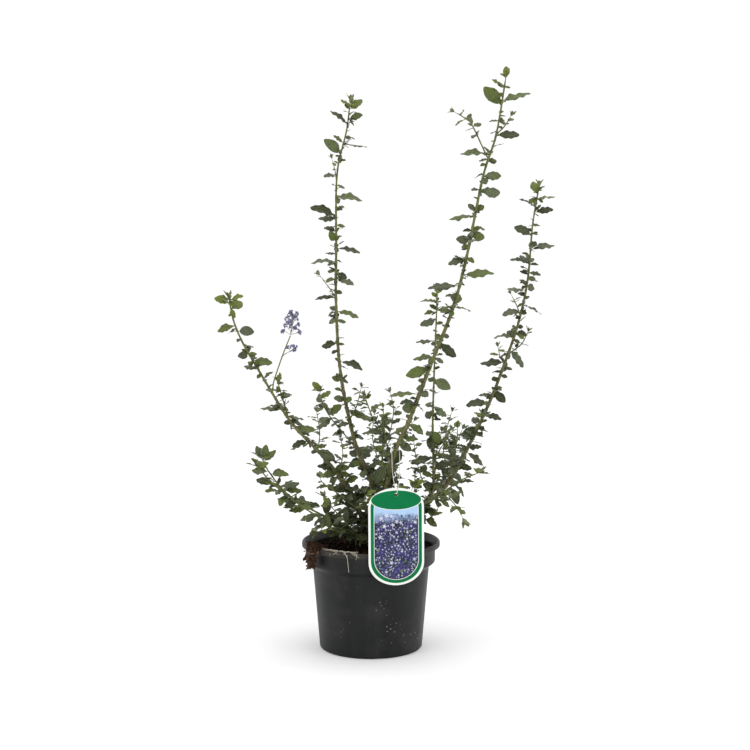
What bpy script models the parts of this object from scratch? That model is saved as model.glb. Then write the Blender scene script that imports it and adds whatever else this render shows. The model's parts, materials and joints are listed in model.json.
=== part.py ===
import math

import bmesh
import bpy
import numpy as np
from mathutils import Matrix, Vector

# Potted california lilac, metres, +Z up, the middle of the pot's base at the origin.
RIM_RADIUS = .085
POT_HEIGHT = .132
POT_SIDES = 28
DRAIN_HOLES, DRAIN_CIRCLE, DRAIN_RADIUS = 6, .041, .005
FIT_GAP = .0003
TURN = math.radians(137.5)     # from one leaf to the next round a stem
UP = np.array([0., 0., 1.])

# Leaves: shape, size and the room they need
BLADE_HALF = .00045            # half the thickness at the middle
BROAD_LEAF = .027              # longer leaves have two points more on their edge
SLENDER, PLUMP = .46, .54      # width over length of a long and of a short leaf
LEAST_SMALL, LEAST_LARGE = .009, .0165
SMALL_REACH, SMALL_SEEN = .0135, .0075
FINEST_REACH = 9.3             # leaves that reach less than this many mm are left out
TIP_ZONE = .035                # leaves are young over this length below a tip
OWN_ROOM, ROOM = .0031, .0048  # gap to leaves of the same shoot and to all else
LEAST_TRACED, LEAST_DRAWN = .75, .68
SOIL_CLEAR, POT_REACH = .134, .094

# Soil top, label and flowers
SOIL_EDGE, SOIL_RISE, SOIL_RADIUS = .1205, .0058, .0775
PETALS = 5

# Outer and inner wall of the pot in mm: distance from the axis, height.
POT_OUTSIDE = [(0, 0), (28, 0), (29.5, 2.5), (53, 2.5), (54.5, 0), (62.3, 0), (63.2, 1.2), (71.7, 101),
               (79, 107), (79.2, 124.8), (85, 125.6), (85, 130.6), (83.8, 132), (82.2, 132)]
POT_INSIDE = [(81.5, 130.6), (77.8, 123.8), (77.6, 107.6), (70.3, 102), (61.7, 4.2), (0, 4.2)]
SOIL_SIDE = [(0, 4.5), (61.4, 4.5), (69.9, 101.8), (77.2, 107.8), (77.35, 120.4)]


def stem(route, foot, tip, leaf=.022, gap=.017, seed=1, bare=.03, traced=()):
    """A leafy axis: its centre line, foot and tip radius, leaf size and spacing, and its draws."""
    return {"route": route, "foot": foot, "tip": tip, "leaf": leaf, "gap": gap, "seed": seed,
            "bare": bare, "traced": traced}


# Leaves read off the picture, in mm: height on the stem, reach to the right, rise, seen width
TALL_LEAVES = [
    (684, 0, 13, 5), (672, -14, 10, 5), (657, 33, 14, 7), (652, -20, 23, 16), (635, 9, 1, 9),
    (636, -12, 0, 3), (619, 26, 1, 9), (597, -34, 4, 8), (590, -11, 0, 4), (587, 12, 2, 7),
    (571, 20, 3, 9), (562, 5, 5, 5), (553, 25, 2, 11), (555, -11, 0, 2), (526, -30, 2, 6),
    (531, -8, 10, 5), (532, 5, 1, 4), (511, -11, 0, 4), (512, 8, 1, 5), (507, 17, -4, 12),
    (499, -15, 3, 11), (494, -9, -2, 5), (477, -21, -3, 6), (478, 7, 0, 3), (470, -5, 1, 3),
    (460, 36, 3, 7), (448, 6, 1, 4), (446, -37, 0, 8), (436, -14, -1, 3), (424, 7, 14, 15),
    (421, 22, -2, 4), (418, -14, 0, 4), (407, -8, 5, 3), (398, 5, 1, 4), (389, 8, -3, 6),
    (386, -9, 2, 5), (380, 20, -14, 10), (350, -28, -6, 10), (332, -6, 4, 7), (318, -36, 3, 6),
    (322, 8, -5, 8), (308, -19, 2, 5), (304, -16, -5, 12), (307, 11, -9, 4), (283, 19, -11, 8),
    (271, -9, 6, 8), (265, 20, 1, 4), (257, 16, -7, 9), (243, -16, 2, 7), (228, 12, 20, 9),
    (214, -12, 12, 10), (203, 3, 22, 11)]
UPRIGHT_LEAVES = [
    (671, 4, 8, 3), (668, -11, 10, 3), (664, 16, 14, 10), (652, 18, 5, 9), (645, -19, 19, 5),
    (629, 7, -1, 5), (620, 32, 1, 3), (622, -12, 10, 5), (607, -19, 19, 13), (599, 9, 1, 4),
    (581, -17, 0, 5), (568, 11, -3, 4), (566, -5, 4, 3), (553, 34, 1, 7), (540, 10, 4, 3),
    (531, -31, 13, 9), (527, -22, 4, 8), (512, -15, 8, 6), (520, 12, 0, 4), (500, -7, 12, 11),
    (490, 31, 0, 7), (484, -14, 1, 3), (474, -33, 3, 6), (476, 8, -2, 3), (462, -11, 1, 5),
    (458, 15, -5, 10), (452, 23, -7, 4), (451, -12, 0, 3), (428, -27, 1, 6), (436, 8, -3, 6),
    (411, 29, -6, 6), (412, -8, 4, 6), (402, -9, 6, 4), (399, -10, -3, 4), (400, 12, -2, 4),
    (372, -21, -4, 8), (371, 8, 0, 4), (349, 30, -6, 5), (325, -12, 5, 7), (326, 9, -4, 5),
    (301, -13, 4, 8), (303, 7, 0, 8), (289, 30, -8, 7), (273, -14, -2, 5), (258, 14, -5, 6),
    (243, 19, -12, 11), (240, -8, -12, 12), (222, -14, 4, 7), (212, 15, 3, 7)]
LEFT_LEAVES = [
    (429, -1, 7, 5), (425, -18, 6, 9), (428, 16, 7, 4), (418, 14, 9, 14), (398, -21, -4, 7),
    (391, 20, -1, 13), (365, -10, -2, 9), (363, 4, 3, 3), (357, 24, -2, 10), (346, -17, 5, 4),
    (341, -3, -5, 5), (333, 19, -4, 8), (297, -28, 2, 6), (300, -13, 3, 3), (288, 21, -1, 3),
    (281, 14, -2, 9), (280, -9, 2, 5), (273, 22, 1, 8), (270, 14, -5, 5), (258, -20, -3, 6),
    (256, -26, -5, 3), (248, 23, -9, 9), (245, -10, 0, 6), (250, 14, 5, 3), (236, 23, -5, 4),
    (232, -9, -6, 8), (222, 18, 5, 6), (216, -22, 0, 7), (206, 16, 8, 8), (196, -18, 3, 7),
    (186, 15, 8, 7), (178, -16, 3, 8)]
RIGHT_LEAVES = [
    (558, -5, 16, 9), (561, 7, 8, 3), (552, 22, 4, 5), (542, -19, 12, 3), (534, 22, 6, 9),
    (518, -5, 1, 3), (519, 10, 0, 3), (507, -21, 10, 11), (508, 7, 1, 3), (497, 6, -4, 7),
    (488, 31, 7, 6), (471, -24, 8, 6), (477, -5, 6, 4), (470, -10, 13, 3), (462, -8, 2, 3),
    (461, 15, -3, 3), (455, 8, -4, 7), (449, -10, -1, 3), (438, -25, 3, 6), (444, 12, -5, 11),
    (430, -8, 6, 5), (426, 7, 5, 4), (419, 26, -10, 4), (412, -25, -4, 6), (410, 6, -1, 6),
    (405, -6, -3, 4), (391, 9, 1, 6), (386, -11, -7, 12), (383, 17, 0, 8), (380, -26, 0, 4),
    (376, 7, -4, 4), (362, 21, -21, 9), (358, -12, -4, 4), (358, 4, 3, 6), (347, -31, 0, 7),
    (344, 6, 2, 7), (340, 11, 0, 3), (335, -9, 1, 3), (331, 9, -2, 4), (328, -10, -2, 5),
    (316, 10, -3, 6), (311, 14, -13, 10), (307, -18, 2, 3), (296, -29, 1, 7), (297, -6, -1, 6),
    (282, 22, -3, 4), (282, -9, -1, 5), (272, -10, 5, 8), (268, -22, -13, 11), (258, 12, -2, 3),
    (255, -14, 0, 4), (243, 17, 0, 5), (237, 24, -18, 8), (239, -6, 4, 7), (227, -16, 3, 5),
    (218, 18, -2, 6), (205, -12, 10, 7), (196, 17, 4, 8), (186, 14, -8, 7)]
SLIM_LEAVES = [
    (434, 3, 11, 11), (430, -6, 7, 4), (424, -21, 3, 4), (414, 20, 9, 3), (412, -15, 0, 4),
    (402, -20, -6, 8), (398, 8, 1, 4), (377, -24, 1, 4), (374, 5, 2, 5), (373, -5, 1, 5),
    (357, -27, 0, 7), (357, 11, -6, 4), (343, 6, 2, 4), (330, 20, -12, 14), (327, -8, 3, 5),
    (315, -5, 2, 4), (314, 5, -1, 4), (298, -9, 1, 3), (297, 17, -10, 5), (289, -11, -6, 11),
    (289, 15, -2, 4), (268, 8, -15, 8), (264, -2, -23, 13), (250, 12, 3, 5), (248, -8, 4, 5),
    (237, 20, 1, 4), (232, -29, -4, 6), (228, 8, -4, 8), (219, 21, 9, 7), (212, -13, 4, 7),
    (203, 12, -6, 6), (196, -12, 6, 7)]
HANGING_LEAF = [(238, -13, -27, 14)]

SHOOTS = {
    "shoot_tall": [
        stem([(.008, -.010, .100), (.008, -.010, .1275), (.0095, -.0115, .139), (.015, -.018, .162),
              (.021, -.030, .214), (.029, -.040, .248), (.046, -.050, .287), (.070, -.062, .352),
              (.095, -.072, .418), (.111, -.078, .480), (.129, -.080, .571), (.144, -.078, .619),
              (.155, -.074, .684)], .0031, .0011, seed=3, traced=TALL_LEAVES),
        stem([(.135, -.079, .594), (.116, -.092, .628), (.107, -.097, .636), (.095, -.100, .643)],
             .0010, .0006, .014, .010, 5, bare=.030),
        stem([(.144, -.078, .617), (.156, -.070, .632), (.162, -.066, .642)],
             .0009, .0006, .012, .010, 6, bare=.012),
        stem([(.017, -.020, .172), (.024, -.006, .205), (.025, .002, .232), (.018, .006, .256),
              (.016, .008, .275), (.015, .010, .294)], .0013, .0007, .020, .0085, 9, bare=.03),
        stem([(.0095, -.0115, .139), (.003, -.028, .157), (-.004, -.042, .177), (-.007, -.048, .199)],
             .0011, .0006, .023, .0125, 73, bare=.012),
        stem([(.012, -.014, .150), (.026, -.030, .163), (.042, -.045, .183), (.050, -.052, .206)],
             .0011, .0006, .023, .0125, 75, bare=.012),
        stem([(.021, -.030, .214), (.0195, -.048, .227), (.0185, -.066, .236), (.0175, -.0795, .2385)],
             .0011, .0007, seed=76, traced=HANGING_LEAF),
    ],
    "shoot_upright": [
        stem([(-.003, .008, .100), (-.003, .008, .1275), (-.002, .0085, .139), (.001, .010, .160),
              (.001, .016, .199), (-.015, .028, .234), (-.027, .038, .276), (-.039, .050, .340),
              (-.044, .062, .419), (-.044, .072, .488), (-.043, .080, .582), (-.031, .080, .637),
              (-.026, .078, .674)], .0029, .0010, seed=12, traced=UPRIGHT_LEAVES),
        stem([(-.044, .079, .574), (-.045, .074, .586), (-.049, .070, .602)],
             .0008, .0005, .010, .008, 13, bare=.020),
        stem([(-.044, .064, .429), (-.052, .058, .440), (-.064, .054, .456)],
             .0008, .0005, .009, .008, 15, bare=.010),
        stem([(.001, .013, .178), (-.001, .030, .208), (-.021, .048, .241), (-.050, .064, .274),
              (-.064, .072, .298), (-.065, .074, .309)], .0013, .0007, .021, .0090, 14, bare=.02),
        stem([(.001, .011, .165), (.010, .028, .200), (.015, .038, .240), (.012, .046, .262),
              (.001, .052, .280), (-.008, .058, .304)], .0014, .0007, .022, .0085, 17, bare=.02),
        stem([(-.002, .0085, .139), (-.012, .000, .158), (-.024, -.006, .180), (-.034, -.010, .203)],
             .0011, .0006, .023, .0125, 71, bare=.012),
    ],
    "shoot_left": [
        stem([(-.009, -.004, .100), (-.009, -.004, .1275), (-.0095, -.0045, .138), (-.010, -.0065, .150),
              (-.018, -.012, .182), (-.040, -.020, .217), (-.064, -.026, .246), (-.095, -.030, .280),
              (-.120, -.033, .320), (-.135, -.034, .346), (-.153, -.036, .378), (-.164, -.034, .405),
              (-.169, -.030, .430)], .0026, .0011, seed=21, traced=LEFT_LEAVES),
        stem([(-.098, -.030, .285), (-.106, -.024, .308), (-.110, -.020, .321), (-.113, -.018, .330)],
             .0011, .0007, .021, .008, 24, bare=.010),
        stem([(-.013, -.009, .165), (-.023, -.026, .180), (-.042, -.040, .198), (-.057, -.046, .210),
              (-.061, -.048, .217)], .0010, .0006, .018, .013, 27, bare=.02),
        stem([(-.010, -.0065, .150), (-.026, -.002, .170), (-.044, .004, .192), (-.052, .006, .214)],
             .0011, .0006, .022, .0125, 81, bare=.012),
    ],
    "shoot_right": [
        stem([(.020, .004, .100), (.020, .004, .1275), (.0215, .0045, .137), (.032, .007, .150),
              (.061, .014, .170), (.095, .024, .197), (.123, .036, .245), (.149, .046, .298),
              (.170, .054, .351), (.186, .058, .399), (.197, .060, .452), (.202, .058, .518),
              (.209, .054, .566)],
             .0028, .0010, seed=31, traced=RIGHT_LEAVES),
        stem([(.188, .059, .408), (.182, .054, .420), (.175, .050, .433)],
             .0008, .0005, .009, .008, 32, bare=.010),
        stem([(.168, .053, .347), (.162, .048, .354), (.159, .046, .367)],
             .0008, .0005, .015, .007, 34, bare=.014),
        stem([(.173, .055, .359), (.188, .048, .370), (.196, .044, .386)],
             .0009, .0006, .013, .009, 33, bare=.010),
        stem([(.040, .009, .156), (.052, .022, .166), (.075, .044, .180), (.100, .070, .206),
              (.109, .086, .236), (.112, .094, .259)], .0014, .0007, .021, .0090, 35, bare=.03),
        stem([(.101, .072, .209), (.102, .090, .232), (.097, .104, .254)],
             .0010, .0006, .019, .0085, 37, bare=.012),
        stem([(.032, .007, .150), (.036, .026, .168), (.034, .042, .192), (.030, .050, .217)],
             .0011, .0006, .022, .0125, 79, bare=.012),
    ],
    "shoot_slim": [
        stem([(.020, -.007, .100), (.020, -.007, .1275), (.0215, -.007, .137), (.034, -.007, .149),
              (.058, -.003, .163), (.075, .002, .187), (.077, .006, .230), (.076, .008, .277),
              (.078, .006, .354), (.080, .000, .417), (.080, -.004, .439)],
             .0019, .0009, seed=41, traced=SLIM_LEAVES),
        stem([(.046, -.006, .157), (.060, -.018, .158), (.074, -.026, .166), (.082, -.030, .178)],
             .0011, .0007, .021, .012, 43, bare=.014),
        stem([(.0215, -.007, .137), (.040, .012, .150), (.053, .026, .176), (.055, .032, .208)],
             .0011, .0006, .023, .0125, 77, bare=.012),
    ],
    "shoot_low_left": [
        stem([(-.018, -.009, .100), (-.018, -.009, .1275), (-.0195, -.0105, .137), (-.027, -.017, .149),
              (-.038, -.027, .159), (-.065, -.042, .174), (-.099, -.054, .198), (-.120, -.060, .225),
              (-.129, -.060, .242)], .0015, .0009, .022, .0110, 51, bare=.04),
    ],
    "shoot_front_left": [
        stem([(-.013, -.019, .100), (-.013, -.019, .1275), (-.0145, -.021, .137), (-.023, -.033, .147),
              (-.035, -.043, .154), (-.057, -.058, .168), (-.087, -.072, .191), (-.117, -.084, .218),
              (-.130, -.090, .236)], .0015, .0009, .023, .0110, 56, bare=.04),
        stem([(-.020, -.030, .142), (-.030, -.044, .162), (-.046, -.056, .182), (-.054, -.062, .196)],
             .0010, .0006, .019, .012, 58, bare=.014),
        stem([(-.026, -.036, .149), (-.036, -.052, .153), (-.050, -.066, .158), (-.062, -.078, .158)],
             .0010, .0006, .024, .013, 59, bare=.014),
    ],
    "shoot_low_right": [
        stem([(.027, -.016, .100), (.027, -.016, .1275), (.0285, -.0165, .137), (.038, -.021, .150),
              (.065, -.036, .180), (.094, -.050, .205), (.110, -.058, .217), (.127, -.064, .225)],
             .0014, .0008, .020, .0105, 61, bare=.04),
        stem([(.052, -.029, .167), (.068, -.046, .186), (.088, -.060, .196), (.101, -.070, .186),
              (.108, -.076, .174)], .0010, .0006, .020, .012, 64, bare=.016),
    ],
}


PEDUNCLE = [(-.118, -.032, .316), (-.117, -.036, .324), (-.115, -.038, .334), (-.104, -.044, .365),
            (-.0952, -.046, .3865)]
SIDE_STALK = [(-.1055, -.0435, .361), (-.102, -.043, .3645), (-.0985, -.0435, .3662)]
LOOP_ROUTE = [(.0300, -.0796, .2026), (.0305, -.0816, .2036), (.0316, -.0817, .2085),
              (.0330, -.0780, .2150), (.0340, -.0660, .2280), (.0344, -.0500, .2420),
              (.0337, -.0402, .2490), (.0303, -.0371, .2513), (.0252, -.0398, .2490),
              (.0252, -.0500, .2420), (.0256, -.0660, .2270), (.0280, -.0752, .2120),
              (.0296, -.0772, .2042)]
HEAD_ROUTE = [(-.09505, -.046, .38755), (-.0935, -.046, .400), (-.092, -.046, .4125)]
SIDE_ROUTE = [(-.0978, -.0436, .36655), (-.0945, -.0436, .3685), (-.0915, -.0436, .3710)]
HEAD_WIDE, SIDE_WIDE = .0092, .0058
LABEL_TURN = math.radians(8)
LABEL_TILT = math.radians(2.5)
LABEL_WIDE, LABEL_TALL, LABEL_THICK = .066, .115, .0009
LABEL_TOP_ARC, LABEL_FOOT_ARC = .0215, .027
LABEL_MIDDLE = (.030, 0., .1525)
LABEL_HOLE = (.0497, .0022)


# Curves and frames.
def unit(v):
    return v / np.linalg.norm(v)


def smooth_path(points, steps=2):
    """A Catmull-Rom curve through the points, ends included."""
    p = np.array(points, float)
    p = np.vstack([2 * p[0] - p[1], p, 2 * p[-1] - p[-2]])
    t = np.linspace(0, 1, steps, endpoint=False)[:, None]
    spans = [0.5 * (2 * b + (c - a) * t + (2 * a - 5 * b + 4 * c - d) * t ** 2
                    + (3 * b - a - 3 * c + d) * t ** 3)
             for a, b, c, d in zip(p, p[1:], p[2:], p[3:])]
    return np.vstack(spans + [p[-2:-1]])


def run_of(path):
    return np.concatenate([[0.], np.cumsum(np.linalg.norm(np.diff(path, axis=0), axis=1))])


def at(path, run, s):
    return np.array([np.interp(s, run, path[:, i]) for i in range(3)])


# Where every leaf goes.
PROBES = [(.25, .3), (.45, 1.), (.65, 1.), (.85, .7)]


def make_leaf(s, here, radius, d, face, length, width, arch, young):
    """A blade along d whose upper face looks towards face as far as it can."""
    side = unit(np.cross(face, d))
    return dict(node=s["node"], owner=s["owner"], base=here, frame=(d, side, np.cross(d, side)),
                length=length, width=width, arch=arch, radius=radius, young=young)


def leaf_probes(leaf):
    """Points spread over a blade, which stand for it when leaves are kept apart."""
    d, side, n = leaf["frame"]
    length, half = leaf["length"], leaf["width"] / 2
    pts = []
    for u, w in PROBES:
        mid = leaf["base"] + d * length * u - n * leaf["arch"] * length * u * u
        pts += [mid - side * half * w, mid, mid + side * half * w]
    pts.append(leaf["base"] + d * length - n * leaf["arch"] * length)
    return np.array(pts)


def room_left(points, owner, taken, owners):
    """The smallest gap to what is there already, as a share of the gap wanted."""
    over_pot = np.hypot(points[:, 0], points[:, 1]) < POT_REACH
    if np.any((points[:, 2] < SOIL_CLEAR) & over_pot):
        return 0.
    gaps = np.linalg.norm(points[:, None] - taken[None], axis=2).min(0)
    return min((gaps / np.where(owners == owner, OWN_ROOM, ROOM)).min(), 1.)


def traced_leaf(s, rng, mark, way, stretch):
    """A leaf read off the picture; its depth follows from its length and its seen size."""
    z, reach, rise, seen = (v / 1000 for v in mark)
    x = np.interp(z, s["path"][:, 2], s["run"])
    flat = math.hypot(reach, rise)
    small = flat < SMALL_REACH and seen < SMALL_SEEN
    length = max(flat * 1.03, seen / .62, LEAST_SMALL if small else LEAST_LARGE) * stretch
    depth = math.sqrt(max(length ** 2 - flat ** 2, 0.)) * way
    d = unit(np.array([reach, depth, rise]))
    width = length * (SLENDER if length > .026 else PLUMP)
    tilt = min(seen / width, 1.)
    face = np.array([rng.uniform(-.2, .2), -tilt, math.sqrt(1.02 - tilt ** 2)])
    if abs(d.dot(unit(face))) > .9:
        face = face + np.array([.8, 0., .3])
    return small, x, d, face, length, width


def grow(guards):
    """Every stem and leaf of the shrub, each leaf kept clear of what is there already."""
    stems, leaves = [], []
    for owner, (node, axes) in enumerate(SHOOTS.items()):
        for axis in axes:
            path = smooth_path(axis["route"])
            stems.append(dict(axis, node=node, owner=owner, path=path, run=run_of(path)))
    marks = [np.array([at(s["path"], s["run"], x) for x in np.arange(0, s["run"][-1], .004)])
             for s in stems]
    taken = np.vstack(marks + [guards])
    owners = np.concatenate([np.full(len(m), s["owner"]) for m, s in zip(marks, stems)]
                            + [np.full(len(guards), -1)])

    def settle(choices, least):
        nonlocal taken, owners
        best, best_score = None, -1.
        for leaf, cost in choices:
            score = room_left(leaf_probes(leaf), leaf["owner"], taken, owners) - cost
            if score > best_score:
                best, best_score = leaf, score
            if score >= .95:
                break
        if best_score < least:
            return
        leaves.append(best)
        taken = np.vstack([taken, leaf_probes(best)])
        owners = np.concatenate([owners, np.full(13, best["owner"])])

    def radius_at(s, x):
        return s["foot"] + (s["tip"] - s["foot"]) * x / s["run"][-1]

    def traced_choices(s, mark, first, arch, lean):
        for stretch in (1., 1.12, 1.25, .88):
            for way in (first, -first):
                rng = np.random.RandomState(lean)
                small, x, d, face, length, width = traced_leaf(s, rng, mark, way, stretch)
                young = max(0., 1 - (s["run"][-1] - x) / TIP_ZONE)
                leaf = make_leaf(s, at(s["path"], s["run"], x), radius_at(s, x), d, face, length,
                                 width, arch, young)
                yield dict(leaf, small=small), 0.

    def drawn_choices(s, x, angle, pitch, face, length, arch, young):
        along = unit(at(s["path"], s["run"], x) - at(s["path"], s["run"], x - .004))
        a = unit(np.cross(along, np.array([.3, 1., 0.])))
        b = np.cross(along, a)
        for turn in (0, .35, -.35, .7, -.7, 1.1, -1.1, 1.6, -1.6, 2.2, -2.2):
            phi = angle + turn
            out = a * math.cos(phi) + b * math.sin(phi)
            out = unit(out - UP * out.dot(UP) * .5 + along * .25)
            d = unit(out * math.cos(pitch) + UP * math.sin(pitch))
            leaf = make_leaf(s, at(s["path"], s["run"], x), radius_at(s, x), d, face, length,
                             length * PLUMP, arch, young)
            yield dict(leaf, small=False), .03 * abs(turn)

    for s in stems:
        rng = np.random.RandomState(s["seed"])
        for mark in s["traced"]:
            first = rng.choice([-1, 1])
            arch = rng.uniform(.04, .2)
            lean = rng.randint(10 ** 6)
            if math.hypot(mark[1], mark[2]) > FINEST_REACH:
                settle(traced_choices(s, mark, first, arch, lean), LEAST_TRACED)
    for s in [s for s in stems if not s["traced"]]:
        rng = np.random.RandomState(s["seed"])
        reach, x, angle = s["run"][-1], s["bare"], rng.uniform(0, 2 * math.pi)
        while x < reach + s["gap"] * .4:
            spot = min(x, reach - .0008)
            young = max(0., 1 - (reach - spot) / .03)
            length = s["leaf"] * rng.uniform(.8, 1.12) * (1 - .3 * young)
            pitch = rng.uniform(-.35, .4) + young * .5
            face = np.array([rng.normal() * .35, rng.uniform(-1.1, .35), 1.])
            arch = rng.uniform(.05, .22)
            settle(drawn_choices(s, spot, angle, pitch, face, length, arch, young), LEAST_DRAWN)
            x += s["gap"] * rng.uniform(.8, 1.2)
            angle += TURN
    return stems, leaves


# Solid pieces from points and faces.
def material(name, colour, roughness):
    m = bpy.data.materials.new(name)
    m.use_nodes = True
    shader = m.node_tree.nodes["Principled BSDF"]
    shader.inputs["Base Color"].default_value = (*colour, 1.)
    shader.inputs["Roughness"].default_value = roughness
    return m


def make_object(name, verts, faces, look=None):
    mesh = bpy.data.meshes.new(name)
    mesh.from_pydata([tuple(map(float, v)) for v in verts], [], faces)
    bm = bmesh.new()
    bm.from_mesh(mesh)
    bmesh.ops.recalc_face_normals(bm, faces=bm.faces)
    if bm.calc_volume(signed=True) < 0:
        bmesh.ops.reverse_faces(bm, faces=bm.faces)
    bmesh.ops.triangulate(bm, faces=[f for f in bm.faces if len(f.verts) > 4])
    bm.to_mesh(mesh)
    bm.free()
    if look:
        mesh.materials.append(look)
    obj = bpy.data.objects.new(name, mesh)
    bpy.context.scene.collection.objects.link(obj)
    return obj


def tube(path, radii, sides, turn=0.):
    """A closed tube with flat ends along the path, without twist."""
    path = np.array(path, float)
    n = len(path)
    along = np.gradient(path, axis=0)
    along /= np.linalg.norm(along, axis=1)[:, None]
    a = np.cross(along[0], np.array([.3, 1., .1]))
    verts = []
    for i in range(n):
        a = unit(a - along[i] * a.dot(along[i]))
        b = np.cross(along[i], a)
        for k in range(sides):
            phi = turn + 2 * math.pi * k / sides
            verts.append(path[i] + (a * math.cos(phi) + b * math.sin(phi)) * radii[i])
    faces = [(i * sides + k, i * sides + (k + 1) % sides, (i + 1) * sides + (k + 1) % sides,
              (i + 1) * sides + k) for i in range(n - 1) for k in range(sides)]
    faces += [tuple(range(sides))[::-1], tuple((n - 1) * sides + k for k in range(sides))]
    return verts, faces


def lathe(rings, sides, top=None):
    """A turned solid; rings run from the axis out and back to the axis, top moves single points."""
    verts, faces = [], []
    starts = []
    for r, z in rings:
        starts.append(len(verts))
        if r == 0:
            verts.append((0., 0., z))
            continue
        for k in range(sides):
            phi = 2 * math.pi * k / sides
            verts.append((r * math.cos(phi), r * math.sin(phi), z))
    for (r0, _), (r1, _), s0, s1 in zip(rings, rings[1:], starts, starts[1:]):
        for k in range(sides):
            j = (k + 1) % sides
            if r0 == 0:
                faces.append((s0, s1 + k, s1 + j))
            elif r1 == 0:
                faces.append((s0 + k, s1, s0 + j))
            else:
                faces.append((s0 + k, s1 + k, s1 + j, s0 + j))
    if top:
        verts = [top(v) for v in verts]
    return verts, faces


def blade(leaf, wave):
    """One leaf: a foot sunk in the stem, then a thin arched blade with a waved edge."""
    d, side, n = leaf["frame"]
    length, half = leaf["length"], leaf["width"] / 2
    neck = min(BLADE_HALF, leaf["radius"] * .6)

    def point(u, w, h=0.):
        drop = leaf["arch"] * length * u * u
        return leaf["base"] + d * length * u + side * w - n * (drop - h)

    tip = point(1., 0.)
    if leaf["small"]:
        verts = [point(0., 0.), point(.52, -half), tip, point(.50, half), point(.5, 0., -2 * BLADE_HALF)]
        return verts, [(0, 1, 3), (1, 2, 3), (0, 1, 4), (1, 2, 4), (2, 3, 4), (3, 0, 4)]
    if length < BROAD_LEAF:
        left = [(.34, .86 + .06 * wave[0], .04 * wave[0]), (.70, .90, .04 * wave[1])]
        right = [(.40, .96, -.04 * wave[0]), (.76, .74 - .06 * wave[1], .04 * wave[2])]
    else:
        left = [(.27, .62 + .10 * wave[0], .03 * wave[0]), (.52, 1., .06 * wave[1]),
                (.80, .70 - .10 * wave[2], .03 * wave[2])]
        right = [(.32, .72 - .10 * wave[0], -.03 * wave[0]), (.60, 1., .06 * wave[2]),
                 (.86, .58 - .10 * wave[1], -.03 * wave[1])]
    m = len(left)
    verts = [point(0., -neck)] + [point(u, -half * w, h * length) for u, w, h in left] + [tip]
    verts += [point(u, half * w, h * length) for u, w, h in right[::-1]] + [point(0., neck)]
    verts += [point(0., 0., 1.35 * neck), point(.5, 0., BLADE_HALF), point(.5, 0., -BLADE_HALF)]
    last = 2 * m + 2
    foot, above, below = last + 1, last + 2, last + 3
    faces = [(0, last, foot)] + [(below, k, (k + 1) % foot) for k in range(foot)]
    for row in (list(range(m + 2)), list(range(last, m, -1))):
        faces += [(foot, row[0], row[1]), (foot, row[1], above)]
        faces += [(above, p, q) for p, q in zip(row[1:], row[2:])]
    return verts, faces


def fuse(name, first, others, look):
    """Joins the pieces to one body."""
    body = make_object(name, *first, look)
    group = bpy.data.collections.new(name + "_pieces")
    bpy.context.scene.collection.children.link(group)
    for i, (verts, faces) in enumerate(others):
        piece = make_object(f"{name}_piece_{i}", verts, faces, look)
        bpy.context.scene.collection.objects.unlink(piece)
        group.objects.link(piece)
    join = body.modifiers.new("join", "BOOLEAN")
    join.operation = "UNION"
    join.operand_type = "COLLECTION"
    join.collection = group
    join.solver = "EXACT"
    return settle_body(body, group)


def settle_body(body, group):
    """Applies the modifiers and removes the pieces that went into the body."""
    bpy.context.view_layer.update()
    graph = bpy.context.evaluated_depsgraph_get()
    mesh = bpy.data.meshes.new_from_object(body.evaluated_get(graph))
    body.modifiers.clear()
    body.data = mesh
    for piece in list(group.objects):
        bpy.data.objects.remove(piece, do_unlink=True)
    bpy.data.collections.remove(group)
    bm = bmesh.new()
    bm.from_mesh(mesh)
    bmesh.ops.remove_doubles(bm, verts=bm.verts, dist=2e-6)
    bmesh.ops.dissolve_degenerate(bm, edges=bm.edges, dist=2e-6)
    bmesh.ops.triangulate(bm, faces=bm.faces)
    drop_scraps(bm)
    bm.to_mesh(mesh)
    bm.free()
    return body


def drop_scraps(bm):
    """Leaves only the largest connected body."""
    groups, left = [], set(bm.faces)
    while left:
        group, stack = set(), [left.pop()]
        while stack:
            face = stack.pop()
            group.add(face)
            for edge in face.edges:
                near = [f for f in edge.link_faces if f in left]
                left.difference_update(near)
                stack += near
        groups.append(group)
    groups.sort(key=len)
    loose = [f for group in groups[:-1] for f in group]
    bmesh.ops.delete(bm, geom=loose, context="FACES")


def cut(body, cutters):
    """Takes the cutters' shapes out of the body."""
    group = bpy.data.collections.new(body.name + "_cutters")
    bpy.context.scene.collection.children.link(group)
    for i, (verts, faces) in enumerate(cutters):
        piece = make_object(f"{body.name}_cutter_{i}", verts, faces)
        bpy.context.scene.collection.objects.unlink(piece)
        group.objects.link(piece)
    trim = body.modifiers.new("cut", "BOOLEAN")
    trim.operation = "DIFFERENCE"
    trim.operand_type = "COLLECTION"
    trim.collection = group
    trim.solver = "EXACT"
    return settle_body(body, group)


def sharp_smooth(obj, degrees=35):
    for p in obj.data.polygons:
        p.use_smooth = True
    obj.data.set_sharp_from_angle(angle=math.radians(degrees))


# Pot and soil.
def metres(rings):
    return [(r / 1000, z / 1000) for r, z in rings]


def build_pot(look):
    pot = make_object("pot", *lathe(metres(POT_OUTSIDE + POT_INSIDE), POT_SIDES), look)
    holes = []
    for k in range(DRAIN_HOLES):
        phi = 2 * math.pi * (k + .5) / DRAIN_HOLES
        x, y = DRAIN_CIRCLE * math.cos(phi), DRAIN_CIRCLE * math.sin(phi)
        holes.append(tube([(x, y, -.002), (x, y, .008)], [DRAIN_RADIUS, DRAIN_RADIUS], 6))
    cut(pot, holes)
    sharp_smooth(pot, 30)
    return pot


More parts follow.
